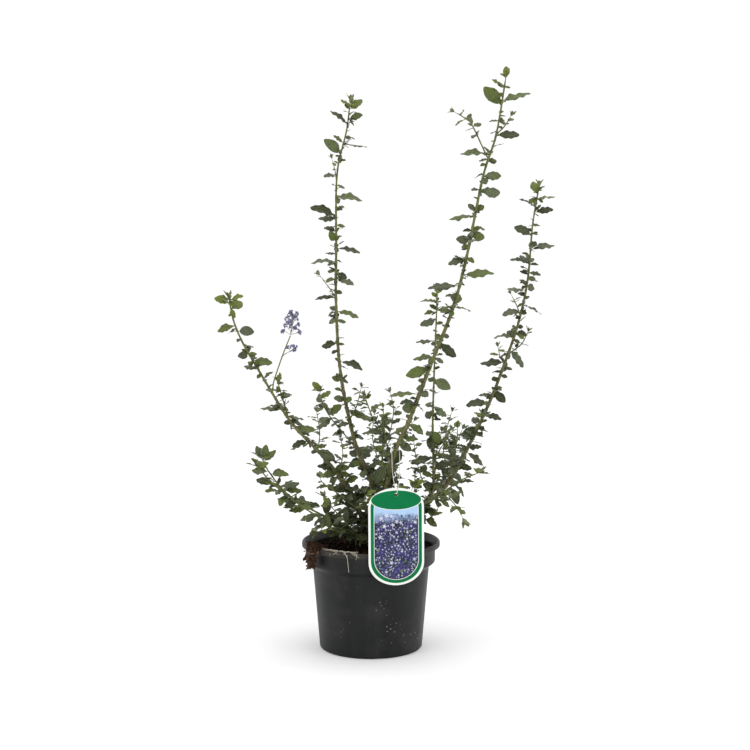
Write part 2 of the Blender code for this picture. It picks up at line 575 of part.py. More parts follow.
def soil_height(x, y):
    """The mix lies nearly level and rises a little to the crown, with soft lumps."""
    r = math.hypot(x, y)
    mound = SOIL_EDGE + SOIL_RISE * (1 - (r / SOIL_RADIUS) ** 2)
    lumps = .0007 * math.sin(x * 190 + 1.3) * math.cos(y * 230) + .0005 * math.sin(x * 410 - y * 370)
    fade = min(1., max(0., (.0772 - r) / .008)) * min(1., max(0., (r - .030) / .012))
    return mound + lumps * fade * 1.6


def build_soil(stems, look):
    surface = [(62, 1), (44, 1), (24, 1), (0, 1)]

    def lift(v):
        x, y, z = v
        return (x, y, soil_height(x, y)) if z == .001 else v

    rings = metres(SOIL_SIDE) + metres(surface)
    soil = make_object("soil", *lathe(rings, POT_SIDES, lift), look)
    holes = []
    for s in stems:
        if s["route"][0][2] > .11:
            continue
        x, y, z = s["route"][0]
        wide = (s["foot"] + FIT_GAP) / math.cos(math.pi / 8)
        holes.append(tube([(x, y, z - FIT_GAP), (x, y, .14)], [wide, wide], 8))
    cut(soil, holes)
    return soil


# Label and its loop.
def label_matrix():
    """The label leans on the rim: turned about the vertical, tilted back, just clear of it."""
    turn = Matrix.Rotation(LABEL_TURN, 4, "Z")
    tilt = Matrix.Rotation(-LABEL_TILT, 4, "X")
    x, _, z = LABEL_MIDDLE
    out = RIM_RADIUS + .0005 + LABEL_THICK / 2 + (z - POT_HEIGHT) * math.tan(LABEL_TILT) * -1
    y = -(out - x * math.sin(LABEL_TURN)) / math.cos(LABEL_TURN)
    return Matrix.Translation((x, y, z)) @ turn @ tilt


def label_outline(count=11):
    half, tall = LABEL_WIDE / 2, LABEL_TALL / 2
    pts = []
    for k in range(count + 1):
        phi = math.pi * k / count
        pts.append((half * math.cos(phi), tall - LABEL_TOP_ARC + LABEL_TOP_ARC * math.sin(phi)))
    for k in range(count + 1):
        phi = math.pi + math.pi * k / count
        pts.append((half * math.cos(phi), -tall + LABEL_FOOT_ARC + LABEL_FOOT_ARC * math.sin(phi)))
    return pts


def build_label(look):
    outline = label_outline()
    n = len(outline)
    place = label_matrix()
    front = [place @ Vector((x, -LABEL_THICK / 2, z)) for x, z in outline]
    back = [place @ Vector((x, LABEL_THICK / 2, z)) for x, z in outline]
    faces = [tuple(range(n)), tuple(range(n, 2 * n))[::-1]]
    faces += [(k, (k + 1) % n, n + (k + 1) % n, n + k) for k in range(n)]
    label = make_object("label", front + back, faces, look)
    z, r = LABEL_HOLE
    hole = [place @ Vector((0., y, z)) for y in (-.004, .004)]
    cut(label, [tube(hole, [r, r], 12)])
    return label


def label_guard():
    """Points over the label and its loop that leaves stay away from."""
    place = label_matrix()
    pts = [place @ Vector((x / 1000, 0., z / 1000)) for x in range(-33, 34, 4)
           for z in range(-57, 58, 4)]
    loop = smooth_path(LOOP_ROUTE, 2)
    tuft = [(-.070 + .008 * i, -.050 - .006 * j, .1400) for i in range(-2, 3) for j in range(-1, 2)]
    stalk = smooth_path(PEDUNCLE + [(-.092, -.046, .414)], 4)
    return np.vstack([np.array([tuple(p) for p in pts]), loop, np.array(tuft), stalk])


def build_loop(look):
    path = smooth_path(LOOP_ROUTE, 2)
    closed = np.vstack([path[:-1], path[:1]])
    n, sides, radius = len(closed) - 1, 4, .00045
    ring = closed[:-1]
    along = np.roll(ring, -1, axis=0) - np.roll(ring, 1, axis=0)
    along /= np.linalg.norm(along, axis=1)[:, None]
    middle = ring.mean(axis=0)
    verts = []
    for p, t in zip(ring, along):
        a = unit((p - middle) - t * (p - middle).dot(t))
        b = np.cross(t, a)
        verts += [p + (a * math.cos(q) + b * math.sin(q)) * radius
                  for q in np.arange(sides) * 2 * math.pi / sides]
    faces = [(i * sides + k, i * sides + (k + 1) % sides, ((i + 1) % n) * sides + (k + 1) % sides,
              ((i + 1) % n) * sides + k) for i in range(n) for k in range(sides)]
    return make_object("label_loop", verts, faces, look)


# Flowers.
def floret(foot, axis, depth, size, start):
    """Five blunt petals around a raised middle, with a pointed foot that is sunk in the core."""
    a = unit(np.cross(axis, np.array([.2, .9, .4])))
    b = np.cross(axis, a)
    centre = foot + axis * depth
    verts, n = [], 2 * PETALS
    for k in range(n):
        phi = start + math.pi * k / PETALS
        r = size * (1. if k % 2 == 0 else .5)
        lift = .2 * size if k % 2 == 0 else 0.
        verts.append(centre + (a * math.cos(phi) + b * math.sin(phi)) * r + axis * lift)
    verts += [centre + axis * size * .35, foot]
    faces = [(k, (k + 1) % n, n) for k in range(n)] + [((k + 1) % n, k, n + 1) for k in range(n)]
    return verts, faces


def build_flower(name, route, wide, count, seed, look):
    """A small panicle: florets stand out of a slim core, wider low down than at the tip."""
    rng = np.random.RandomState(seed)
    path = smooth_path(route, 3)
    run = run_of(path)
    shape = np.interp(run / run[-1], [0, .12, .45, .8, 1],
                      [.0009, wide * .55, wide * .6, wide * .4, .0008])
    florets = []
    for k in range(count):
        share = .12 + .88 * (k + .5) / count
        core = np.interp(share, run / run[-1], shape)
        phi = k * TURN
        axis = unit(np.array([math.cos(phi), math.sin(phi), rng.uniform(-.1, .5) + share ** 2]))
        foot = at(path, run, run[-1] * share) + axis * (core * .7)
        depth = core * .3 + rng.uniform(.0008, .0018)
        florets.append(floret(foot, axis, depth, rng.uniform(.0021, .0026), rng.uniform(0, 6)))
    return fuse(name, tube(path, shape, 6), florets, look)


# Root clump over the rim. Its line runs from the soil over the rim and down outside, in mm
TUFT_MIDDLE = math.radians(-144)
TUFT_HALF = .115
TUFT_THICK = .0022
DRAPE = [(62, 125.2), (70, 124.2), (75.8, 124.0), (78.6, 127.6), (80.8, 131.2), (82, 132.5),
         (84.2, 132.6), (85.6, 131.2), (85.75, 126.5), (85.6, 120), (85, 113), (84.2, 107)]


def drape_point(s, angle, lift):
    """s runs from the soil over the rim and down outside, lift is away from the pot."""
    path = np.array(DRAPE) / 1000
    run = run_of(path)
    x = min(max(s, 0.), 1.) * run[-1]
    r = np.interp(x, run, path[:, 0])
    z = np.interp(x, run, path[:, 1])
    r2 = np.interp(x + .002, run, path[:, 0])
    z2 = np.interp(x + .002, run, path[:, 1])
    along = np.array([r2 - r, z2 - z])
    if np.linalg.norm(along) < 1e-6:
        along = np.array([-.05, -1.])
    along = along / np.linalg.norm(along)
    out = np.array([-along[1], along[0]])
    r, z = r + out[0] * lift, z + out[1] * lift
    return np.array([r * math.cos(angle), r * math.sin(angle), z])


def build_roots(look):
    rng = np.random.RandomState(8)
    stops = run_of(np.array(DRAPE))
    stops = (stops / stops[-1])[1:-1]
    rows, sides = len(stops), 6
    verts = []
    for i, s in enumerate(stops):
        wide = TUFT_HALF * math.sin(math.pi * (.18 + .68 * i / (rows - 1))) * rng.uniform(.85, 1.1)
        thick = TUFT_THICK * rng.uniform(.8, 1.3)
        for k in range(sides):
            phi = 2 * math.pi * k / sides
            lift = .0006 + thick * (1 + math.sin(phi))
            verts.append(drape_point(s, TUFT_MIDDLE + wide * math.cos(phi), lift))
    faces = [(i * sides + k, i * sides + (k + 1) % sides, (i + 1) * sides + (k + 1) % sides,
              (i + 1) * sides + k) for i in range(rows - 1) for k in range(sides)]
    faces += [tuple(range(sides))[::-1], tuple((rows - 1) * sides + k for k in range(sides))]
    strands = []
    for k in range(4):
        a0 = TUFT_MIDDLE + .030 * (k - 1.5)
        swing = .050 * (k - 1.5) + rng.uniform(-.04, .04)
        s0, s1 = rng.uniform(.10, .25), rng.uniform(.72, .98)
        bow = rng.uniform(.0025, .0055)
        path = [drape_point(s0 + (s1 - s0) * t, a0 + swing * t, .0024 + bow * math.sin(math.pi * t))
                for t in np.linspace(0, 1, 6)]
        strands.append(tube(path, [.0006] * 6, 3, rng.uniform(0, 2)))
    threads = [
        [(.42, -144, 2.2), (.44, -136, 1.4), (.49, -128, 1.), (.46, -120, 1.2), (.45, -112, 1.)],
        [(.46, -116, 1.1), (.50, -112, 1.), (.55, -110, 1.), (.64, -108.5, 1.), (.95, -107.5, 1.)],
        [(.40, -140, 2.0), (.38, -130, 1.4), (.40, -121, 1.2), (.45, -113, 1.1), (.50, -110, 1.)]]
    for marks in threads:
        path = [drape_point(s, math.radians(a), lift / 1000) for s, a, lift in marks]
        path = smooth_path(path)
        strands.append(tube(path, [.0005] * len(path), 3))
    return fuse("root_clump", (verts, faces), strands, look)


# Shoots.
def build_shoot(node, stems, leaves, look, extra=()):
    own = [s for s in stems if s["node"] == node]
    parts = []
    for s in own:
        radii = s["foot"] + (s["tip"] - s["foot"]) * s["run"] / s["run"][-1]
        parts.append(tube(s["path"], radii, 5 if s["foot"] > .0015 else 4))
    parts += list(extra)
    rng = np.random.RandomState(len(node))
    for leaf in leaves:
        if leaf["node"] == node:
            parts.append(blade(leaf, rng.choice([-1, 1], 3) * rng.uniform(.5, 1., 3)))
    return fuse(node, parts[0], parts[1:], look)


def main():
    for obj in list(bpy.data.objects):
        bpy.data.objects.remove(obj, do_unlink=True)
    dark_plastic = material("dark_plastic", (.042, .042, .043), .55)
    growing_mix = material("growing_mix", (.020, .013, .009), .95)
    white_card = material("label_plastic", (.75, .78, .74), .4)
    clear_loop = material("loop_plastic", (.6, .6, .57), .4)
    root_brown = material("root_fibre", (.085, .042, .026), .9)
    leafy = material("leafy_shoot", (.055, .085, .024), .5)
    violet = material("violet_floret", (.23, .22, .45), .7)
    stems, leaves = grow(label_guard())
    build_pot(dark_plastic)
    build_soil(stems, growing_mix)
    build_label(white_card)
    build_loop(clear_loop)
    build_roots(root_brown)
    stalk = smooth_path(PEDUNCLE, 4)
    side = smooth_path(SIDE_STALK, 2)
    extras = {"shoot_left": [tube(stalk, np.linspace(.0011, .0008, len(stalk)), 4),
                             tube(side, [.0005] * len(side), 4)]}
    for node in SHOOTS:
        build_shoot(node, stems, leaves, leafy, extras.get(node, ()))
    build_flower("flower_head", HEAD_ROUTE, HEAD_WIDE, 18, 4, violet)
    build_flower("flower_side", SIDE_ROUTE, SIDE_WIDE, 6, 6, violet)


main()
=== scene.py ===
import json
import math

import bmesh
import bpy
import numpy as np
from mathutils import Matrix, Vector

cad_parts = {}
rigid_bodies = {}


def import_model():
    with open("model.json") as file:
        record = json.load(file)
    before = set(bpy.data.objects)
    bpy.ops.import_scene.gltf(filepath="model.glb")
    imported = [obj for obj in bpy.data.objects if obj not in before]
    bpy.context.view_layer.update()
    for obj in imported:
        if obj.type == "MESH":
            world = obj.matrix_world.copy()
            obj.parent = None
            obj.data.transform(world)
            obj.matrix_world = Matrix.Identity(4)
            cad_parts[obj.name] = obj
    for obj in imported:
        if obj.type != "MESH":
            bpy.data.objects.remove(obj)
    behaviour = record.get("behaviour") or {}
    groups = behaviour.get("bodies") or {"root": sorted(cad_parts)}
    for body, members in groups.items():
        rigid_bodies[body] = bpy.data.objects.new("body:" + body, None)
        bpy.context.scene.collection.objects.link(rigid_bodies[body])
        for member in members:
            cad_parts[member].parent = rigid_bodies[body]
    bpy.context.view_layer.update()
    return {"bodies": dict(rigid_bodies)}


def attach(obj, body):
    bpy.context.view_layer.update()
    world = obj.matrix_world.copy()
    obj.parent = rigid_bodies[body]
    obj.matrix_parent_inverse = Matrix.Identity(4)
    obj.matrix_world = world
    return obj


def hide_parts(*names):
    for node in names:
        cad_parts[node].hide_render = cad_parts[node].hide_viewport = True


# A potted california lilac in metres, +Z up, the middle of the pot's base at the origin.
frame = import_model()
body = list(frame["bodies"])[0]
up = np.array([0., 0., 1.])
goldenTurn = math.radians(137.5)      # from one leaf or floret to the next


# Directions and curves.
def unit(v):
    return v / np.linalg.norm(v)


# Each row divided by its own length.
def unitRows(v):
    return v / np.maximum(np.linalg.norm(v, axis=-1, keepdims=True), 1e-12)


# Two directions square to the one given and to each other.
def crossPair(along, lean=(.3, 1., 0.)):
    first = unit(np.cross(along, np.array(lean)))
    return first, np.cross(along, first)


# The way out between the two: first cos angle + second sin angle.
def outward(pair, angle):
    return pair[0] * math.cos(angle) + pair[1] * math.sin(angle)


# Catmull-Rom curve through the points: in each span a cubic whose slopes are half the neighbours' gap.
def smoothPath(points, steps=2, closed=False):
    p = np.array(points, float)
    p = np.vstack([p[-1:], p, p[:2]] if closed else [2 * p[0] - p[1], p, 2 * p[-1] - p[-2]])
    t = np.linspace(0, 1, steps, endpoint=False)[:, None]
    spans = [.5 * (2 * b + (c - a) * t + (2 * a - 5 * b + 4 * c - d) * t ** 2
                   + (3 * b - a - 3 * c + d) * t ** 3)
             for a, b, c, d in zip(p, p[1:], p[2:], p[3:])]
    return np.vstack(spans if closed else spans + [p[-2:-1]])


# Length along the path up to each of its points.
def runOf(path):
    return np.concatenate([[0.], np.cumsum(np.linalg.norm(np.diff(path, axis=0), axis=1))])


# Each column of a path read at the same place.
def readAt(place, marks, path):
    return np.array([np.interp(place, marks, column) for column in path.T])


# The point of a stem at length x from its foot.
def spotOn(s, x):
    return readAt(x, s["run"], s["path"])


# The direction of a stem at length x.
def wayOf(s, x):
    return unit(spotOn(s, x) - spotOn(s, x - .004))


# 3x^2 - 2x^3, held at 0 and 1 outside.
def smoothStep(x):
    x = np.clip(x, 0., 1.)
    return x * x * (3 - 2 * x)


# Colours and nodes.
# sRGB hex to linear: c / 12.92 low down, ((c + .055) / 1.055) ^ 2.4 above.
def linear(hexColour):
    parts = [int(hexColour[i:i + 2], 16) / 255 for i in (1, 3, 5)]
    return tuple(c / 12.92 if c <= .04045 else ((c + .055) / 1.055) ** 2.4 for c in parts) + (1.,)


# A pattern's scale for features of this size, as Object coordinates are in metres.
def scaleFor(millimetres):
    return 1000 / millimetres


# Sets a node's inputs, or links them where a socket is given.
def feed(tree, node, inputs):
    for key, value in inputs.items():
        if isinstance(value, bpy.types.NodeSocket):
            tree.links.new(value, node.inputs[key])
        else:
            node.inputs[key].default_value = value


# Adds one shader node with its settings and inputs, and gives the output asked for.
def addNode(tree, kind, inputs=None, out=0, **settings):
    node = tree.nodes.new("ShaderNode" + kind)
    for key, value in settings.items():
        setattr(node, key, value)
    feed(tree, node, inputs or {})
    return node.outputs[out]


# Lays colour coats over a ground: each covers nothing where its pattern is at the first value and
# its most at the second, and is a hex colour or another colour of the same tree.
def layCoats(tree, colour, coats):
    for pattern, start, end, most, coat in coats:
        share = addNode(tree, "MapRange", {0: pattern, 1: start, 2: end, 4: most})
        over = linear(coat) if isinstance(coat, str) else coat
        colour = addNode(tree, "Mix", {0: share, 6: colour, 7: over}, 2, data_type="RGBA")
    return colour


# A material, its tree, and the place on the object that its patterns follow.
def newMaterial(name):
    look = bpy.data.materials.new(name)
    look.use_nodes = True
    return look, look.node_tree, addNode(look.node_tree, "TexCoord", out="Object")


# Feeds a material's own shader; the relief is its height, its strength and its real depth in metres.
def setShader(look, roughness, specular, colour, relief=None, **inputs):
    tree = look.node_tree
    inputs.update({"Base Color": colour, "Roughness": roughness, "Specular IOR Level": specular})
    if relief:
        inputs["Normal"] = addNode(tree, "Bump", dict(zip(("Height", "Strength", "Distance"), relief)))
    feed(tree, tree.nodes["Principled BSDF"], inputs)
    return look


# Meshes: every surface is arrays of points and faces, gathered and put in at once.
# One surface: points (n, 3), pairs of (faces, material number), and what its material reads.
def surface(points, faceSets, blade=None, flat=None, tone=0.):
    points = np.asarray(points, float).reshape(-1, 3)
    n = len(points)
    return {"points": points, "faceSets": faceSets,
            "blade": np.zeros((n, 3)) if blade is None else np.asarray(blade).reshape(-1, 3),
            "flat": np.zeros((n, 2)) if flat is None else np.asarray(flat).reshape(-1, 2),
            "tone": np.broadcast_to(tone, n)}


# Puts the surfaces into one mesh object at the origin, with its flat map in mm and its attributes.
def makePiece(name, surfaces, looks, node, sharp, weld=0.):
    corners, sizes, numbers, start = [], [], [], 0
    for s in surfaces:
        for faces, look in s["faceSets"]:
            corners.append((faces + start).ravel())
            sizes.append(np.full(len(faces), faces.shape[1]))
            numbers.append(np.broadcast_to(look, len(faces)))
        start += len(s["points"])
    corners, sizes, numbers = (np.concatenate(rows).astype(np.int32) for rows in (corners, sizes, numbers))
    points, blade, flat = (np.vstack([s[key] for s in surfaces]).astype(np.float32)
                           for key in ("points", "blade", "flat"))
    mesh = bpy.data.meshes.new(name)
    mesh.vertices.add(len(points))
    mesh.vertices.foreach_set("co", points.ravel())
    mesh.loops.add(len(corners))
    mesh.loops.foreach_set("vertex_index", corners)
    mesh.polygons.add(len(sizes))
    mesh.polygons.foreach_set("loop_start", np.concatenate([[0], np.cumsum(sizes)[:-1]]).astype(np.int32))
    mesh.update(calc_edges=True)
    mesh.polygons.foreach_set("material_index", numbers)
    mesh.polygons.foreach_set("use_smooth", np.ones(len(sizes), bool))
    mesh.uv_layers.new(name="flatMm").data.foreach_set("uv", flat[corners].ravel())
    mesh.attributes.new("blade", "FLOAT_VECTOR", "POINT").data.foreach_set("vector", blade.ravel())
    tone = np.concatenate([s["tone"] for s in surfaces]).astype(np.float32)
    mesh.attributes.new("tone", "FLOAT", "POINT").data.foreach_set("value", tone)
    if weld:
        bm = bmesh.new()
        bm.from_mesh(mesh)
        bmesh.ops.remove_doubles(bm, verts=bm.verts, dist=weld)
        bmesh.ops.recalc_face_normals(bm, faces=bm.faces)
        bm.to_mesh(mesh)
        bm.free()
    mesh.validate()
    mesh.set_sharp_from_angle(angle=math.radians(sharp))
    for look in looks:
        mesh.materials.append(look)
    obj = bpy.data.objects.new(name, mesh)
    bpy.context.scene.collection.objects.link(obj)
    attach(obj, body)
    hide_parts(node)
    print(name, "made of", len(surfaces), "surfaces")


# Quads between rings of count points each; closed joins the last ring to the first.
def ringFaces(rings, count, closed=False):
    i = np.arange(rings if closed else rings - 1)[:, None]
    k = np.arange(count)[None]
    j = (i + 1) % rings
    after = (k + 1) % count
    return np.stack([i * count + k, i * count + after, j * count + after, j * count + k], -1).reshape(-1, 4)


# Triangles from a ring of points to one point.
def fanFaces(start, count, tip, outside=True):
    k = np.arange(count)
    first, second = start + k, start + (k + 1) % count
    if not outside:
        first, second = second, first
    return np.stack([first, second, np.full(count, tip)], 1)


# Faces of many closed forms at once, each so many rings and then its two end points. Quads past the
# split column take the last look, the rest and the end fans the first.
def formFaces(forms, rings, count, looks, split=None):
    n = rings * count
    start = (np.arange(forms) * (n + 2))[:, None, None]
    quads = ringFaces(rings, count).reshape(rings - 1, count, 4)[..., ::-1]
    tips = np.vstack([fanFaces(0, count, n), fanFaces(n - count, count, n + 1, False)])
    split = split or count
    sets = ((quads[:, :split].reshape(-1, 4), looks[0]), (quads[:, split:].reshape(-1, 4), looks[-1]),
            (tips, looks[0]))
    return [((faces[None] + start).reshape(-1, faces.shape[1]), look) for faces, look in sets]


# Rows of a grid of forms without their end rows, then one point for each end.
def ringsThenEnds(grid, middle):
    return np.concatenate([grid[:, 1:-1].reshape(len(grid), -1, grid.shape[-1]), grid[:, [0, -1], middle]], 1)


# A profile of (r, z) rows carried round the axis: (r cos q, r sin q, z).
def turnedPoints(r, z, sides):
    q = 2 * np.pi * np.arange(sides) / sides
    return np.stack([r[:, None] * np.cos(q), r[:, None] * np.sin(q), np.repeat(z[:, None], sides, 1)], -1)


# A circle carried along the path: centre + radius * (first cos q + second sin q), ends closed. The
# two cross directions go along without twist.
def tubeSurface(path, radii, sides, look=0, tone=0.):
    path = np.asarray(path, float)
    n = len(path)
    radii = np.broadcast_to(radii, n)[:, None, None]
    along = unitRows(np.gradient(path, axis=0))
    across, first = np.cross(along[0], np.array([.3, 1., .1])), []
    for t in along:
        across = unit(across - t * across.dot(t))
        first.append(across)
    points = path[:, None] + circleRound(np.array(first), along, sides) * radii
    tones = np.broadcast_to(tone, n)
    sets = [(ringFaces(n, sides), look), (fanFaces(0, sides, n * sides, False), look),
            (fanFaces((n - 1) * sides, sides, n * sides + 1), look)]
    return surface(np.vstack([points.reshape(-1, 3), path[:1], path[-1:]]), sets,
                   tone=np.concatenate([np.repeat(tones, sides), tones[:1], tones[-1:]]))


# Unit circles square to a path: first cos q + second sin q.
def circleRound(first, along, sides):
    q = 2 * np.pi * np.arange(sides)[None, :, None] / sides
    return first[:, None] * np.cos(q) + np.cross(along, first)[:, None] * np.sin(q)


# The plant: each shoot is a list of leafy axes.
# An axis in mm: its centre line, foot and tip radius, leaf size and spacing, its seed, its bare foot.
def leafyAxis(route, foot, tip, leaf=22, gap=17, seed=1, bare=30, traced=()):
    return {"route": np.array(route) / 1000, "foot": foot / 1000, "tip": tip / 1000, "leaf": leaf / 1000,
            "gap": gap / 1000, "seed": seed, "bare": bare / 1000, "traced": traced, "youth": 1., "lean": 1.}


# Leaves read off the picture, in mm: height on the stem, reach to the right, rise, seen width
tallLeaves = [
    (684, 0, 13, 5), (672, -14, 10, 5), (657, 33, 14, 7), (652, -20, 23, 16), (635, 9, 1, 9),
    (636, -12, 0, 3), (619, 26, 1, 9), (597, -34, 4, 8), (590, -11, 0, 4), (587, 12, 2, 7),
    (571, 20, 3, 9), (562, 5, 5, 5), (553, 25, 2, 11), (555, -11, 0, 2), (526, -30, 2, 6),
    (531, -8, 10, 5), (532, 5, 1, 4), (511, -11, 0, 4), (512, 8, 1, 5), (507, 17, -4, 12),
    (499, -15, 3, 11), (494, -9, -2, 5), (477, -21, -3, 6), (478, 7, 0, 3), (470, -5, 1, 3),
    (460, 36, 3, 7), (448, 6, 1, 4), (446, -37, 0, 8), (436, -14, -1, 3), (424, 7, 14, 15),
    (421, 22, -2, 4), (418, -14, 0, 4), (407, -8, 5, 3), (398, 5, 1, 4), (389, 8, -3, 6),
    (386, -9, 2, 5), (380, 20, -14, 10), (350, -28, -6, 10), (332, -6, 4, 7), (318, -36, 3, 6),
    (322, 8, -5, 8), (308, -19, 2, 5), (304, -16, -5, 12), (307, 11, -9, 4), (283, 19, -11, 8),
    (271, -9, 6, 8), (265, 20, 1, 4), (257, 16, -7, 9), (243, -16, 2, 7), (228, 12, 20, 9),
    (214, -12, 12, 10), (203, 3, 22, 11)]
uprightLeaves = [
    (671, 4, 8, 3), (668, -11, 10, 3), (664, 16, 14, 10), (652, 18, 5, 9), (645, -19, 19, 5),
    (629, 7, -1, 5), (620, 32, 1, 3), (622, -12, 10, 5), (607, -19, 19, 13), (599, 9, 1, 4),
    (581, -17, 0, 5), (568, 11, -3, 4), (566, -5, 4, 3), (553, 34, 1, 7), (540, 10, 4, 3),
    (531, -31, 13, 9), (527, -22, 4, 8), (512, -15, 8, 6), (520, 12, 0, 4), (500, -7, 12, 11),
    (490, 31, 0, 7), (484, -14, 1, 3), (474, -33, 3, 6), (476, 8, -2, 3), (462, -11, 1, 5),
    (458, 15, -5, 10), (452, 23, -7, 4), (451, -12, 0, 3), (428, -27, 1, 6), (436, 8, -3, 6),
    (411, 29, -6, 6), (412, -8, 4, 6), (402, -9, 6, 4), (399, -10, -3, 4), (400, 12, -2, 4),
    (372, -21, -4, 8), (371, 8, 0, 4), (349, 30, -6, 5), (325, -12, 5, 7), (326, 9, -4, 5),
    (301, -13, 4, 8), (303, 7, 0, 8), (289, 30, -8, 7), (273, -14, -2, 5), (258, 14, -5, 6),
    (243, 19, -12, 11), (240, -8, -12, 12), (222, -14, 4, 7), (212, 15, 3, 7)]
leftLeaves = [
    (429, -1, 7, 5), (425, -18, 6, 9), (428, 16, 7, 4), (418, 14, 9, 14), (398, -21, -4, 7),
    (391, 20, -1, 13), (365, -10, -2, 9), (363, 4, 3, 3), (357, 24, -2, 10), (346, -17, 5, 4),
    (341, -3, -5, 5), (333, 19, -4, 8), (297, -28, 2, 6), (300, -13, 3, 3), (288, 21, -1, 3),
    (281, 14, -2, 9), (280, -9, 2, 5), (273, 22, 1, 8), (270, 14, -5, 5), (258, -20, -3, 6),
    (256, -26, -5, 3), (248, 23, -9, 9), (245, -10, 0, 6), (250, 14, 5, 3), (236, 23, -5, 4),
    (232, -9, -6, 8), (222, 18, 5, 6), (216, -22, 0, 7), (206, 16, 8, 8), (196, -18, 3, 7),
    (186, 15, 8, 7), (178, -16, 3, 8)]
rightLeaves = [
    (558, -5, 16, 9), (561, 7, 8, 3), (552, 22, 4, 5), (542, -19, 12, 3), (534, 22, 6, 9),
    (518, -5, 1, 3), (519, 10, 0, 3), (507, -21, 10, 11), (508, 7, 1, 3), (497, 6, -4, 7),
    (488, 31, 7, 6), (471, -24, 8, 6), (477, -5, 6, 4), (470, -10, 13, 3), (462, -8, 2, 3),
    (461, 15, -3, 3), (455, 8, -4, 7), (449, -10, -1, 3), (438, -25, 3, 6), (444, 12, -5, 11),
    (430, -8, 6, 5), (426, 7, 5, 4), (419, 26, -10, 4), (412, -25, -4, 6), (410, 6, -1, 6),
    (405, -6, -3, 4), (391, 9, 1, 6), (386, -11, -7, 12), (383, 17, 0, 8), (380, -26, 0, 4),
    (376, 7, -4, 4), (362, 21, -21, 9), (358, -12, -4, 4), (358, 4, 3, 6), (347, -31, 0, 7),
    (344, 6, 2, 7), (340, 11, 0, 3), (335, -9, 1, 3), (331, 9, -2, 4), (328, -10, -2, 5),
    (316, 10, -3, 6), (311, 14, -13, 10), (307, -18, 2, 3), (296, -29, 1, 7), (297, -6, -1, 6),
    (282, 22, -3, 4), (282, -9, -1, 5), (272, -10, 5, 8), (268, -22, -13, 11), (258, 12, -2, 3),
    (255, -14, 0, 4), (243, 17, 0, 5), (237, 24, -18, 8), (239, -6, 4, 7), (227, -16, 3, 5),
    (218, 18, -2, 6), (205, -12, 10, 7), (196, 17, 4, 8), (186, 14, -8, 7)]
slimLeaves = [
    (434, 3, 11, 11), (430, -6, 7, 4), (424, -21, 3, 4), (414, 20, 9, 3), (412, -15, 0, 4),
    (402, -20, -6, 8), (398, 8, 1, 4), (377, -24, 1, 4), (374, 5, 2, 5), (373, -5, 1, 5),
    (357, -27, 0, 7), (357, 11, -6, 4), (343, 6, 2, 4), (330, 20, -12, 14), (327, -8, 3, 5),
    (315, -5, 2, 4), (314, 5, -1, 4), (298, -9, 1, 3), (297, 17, -10, 5), (289, -11, -6, 11),
    (289, 15, -2, 4), (268, 8, -15, 8), (264, -2, -23, 13), (250, 12, 3, 5), (248, -8, 4, 5),
    (237, 20, 1, 4), (232, -29, -4, 6), (228, 8, -4, 8), (219, 21, 9, 7), (212, -13, 4, 7),
    (203, 12, -6, 6), (196, -12, 6, 7)]
hangingLeaf = [(238, -13, -27, 14)]

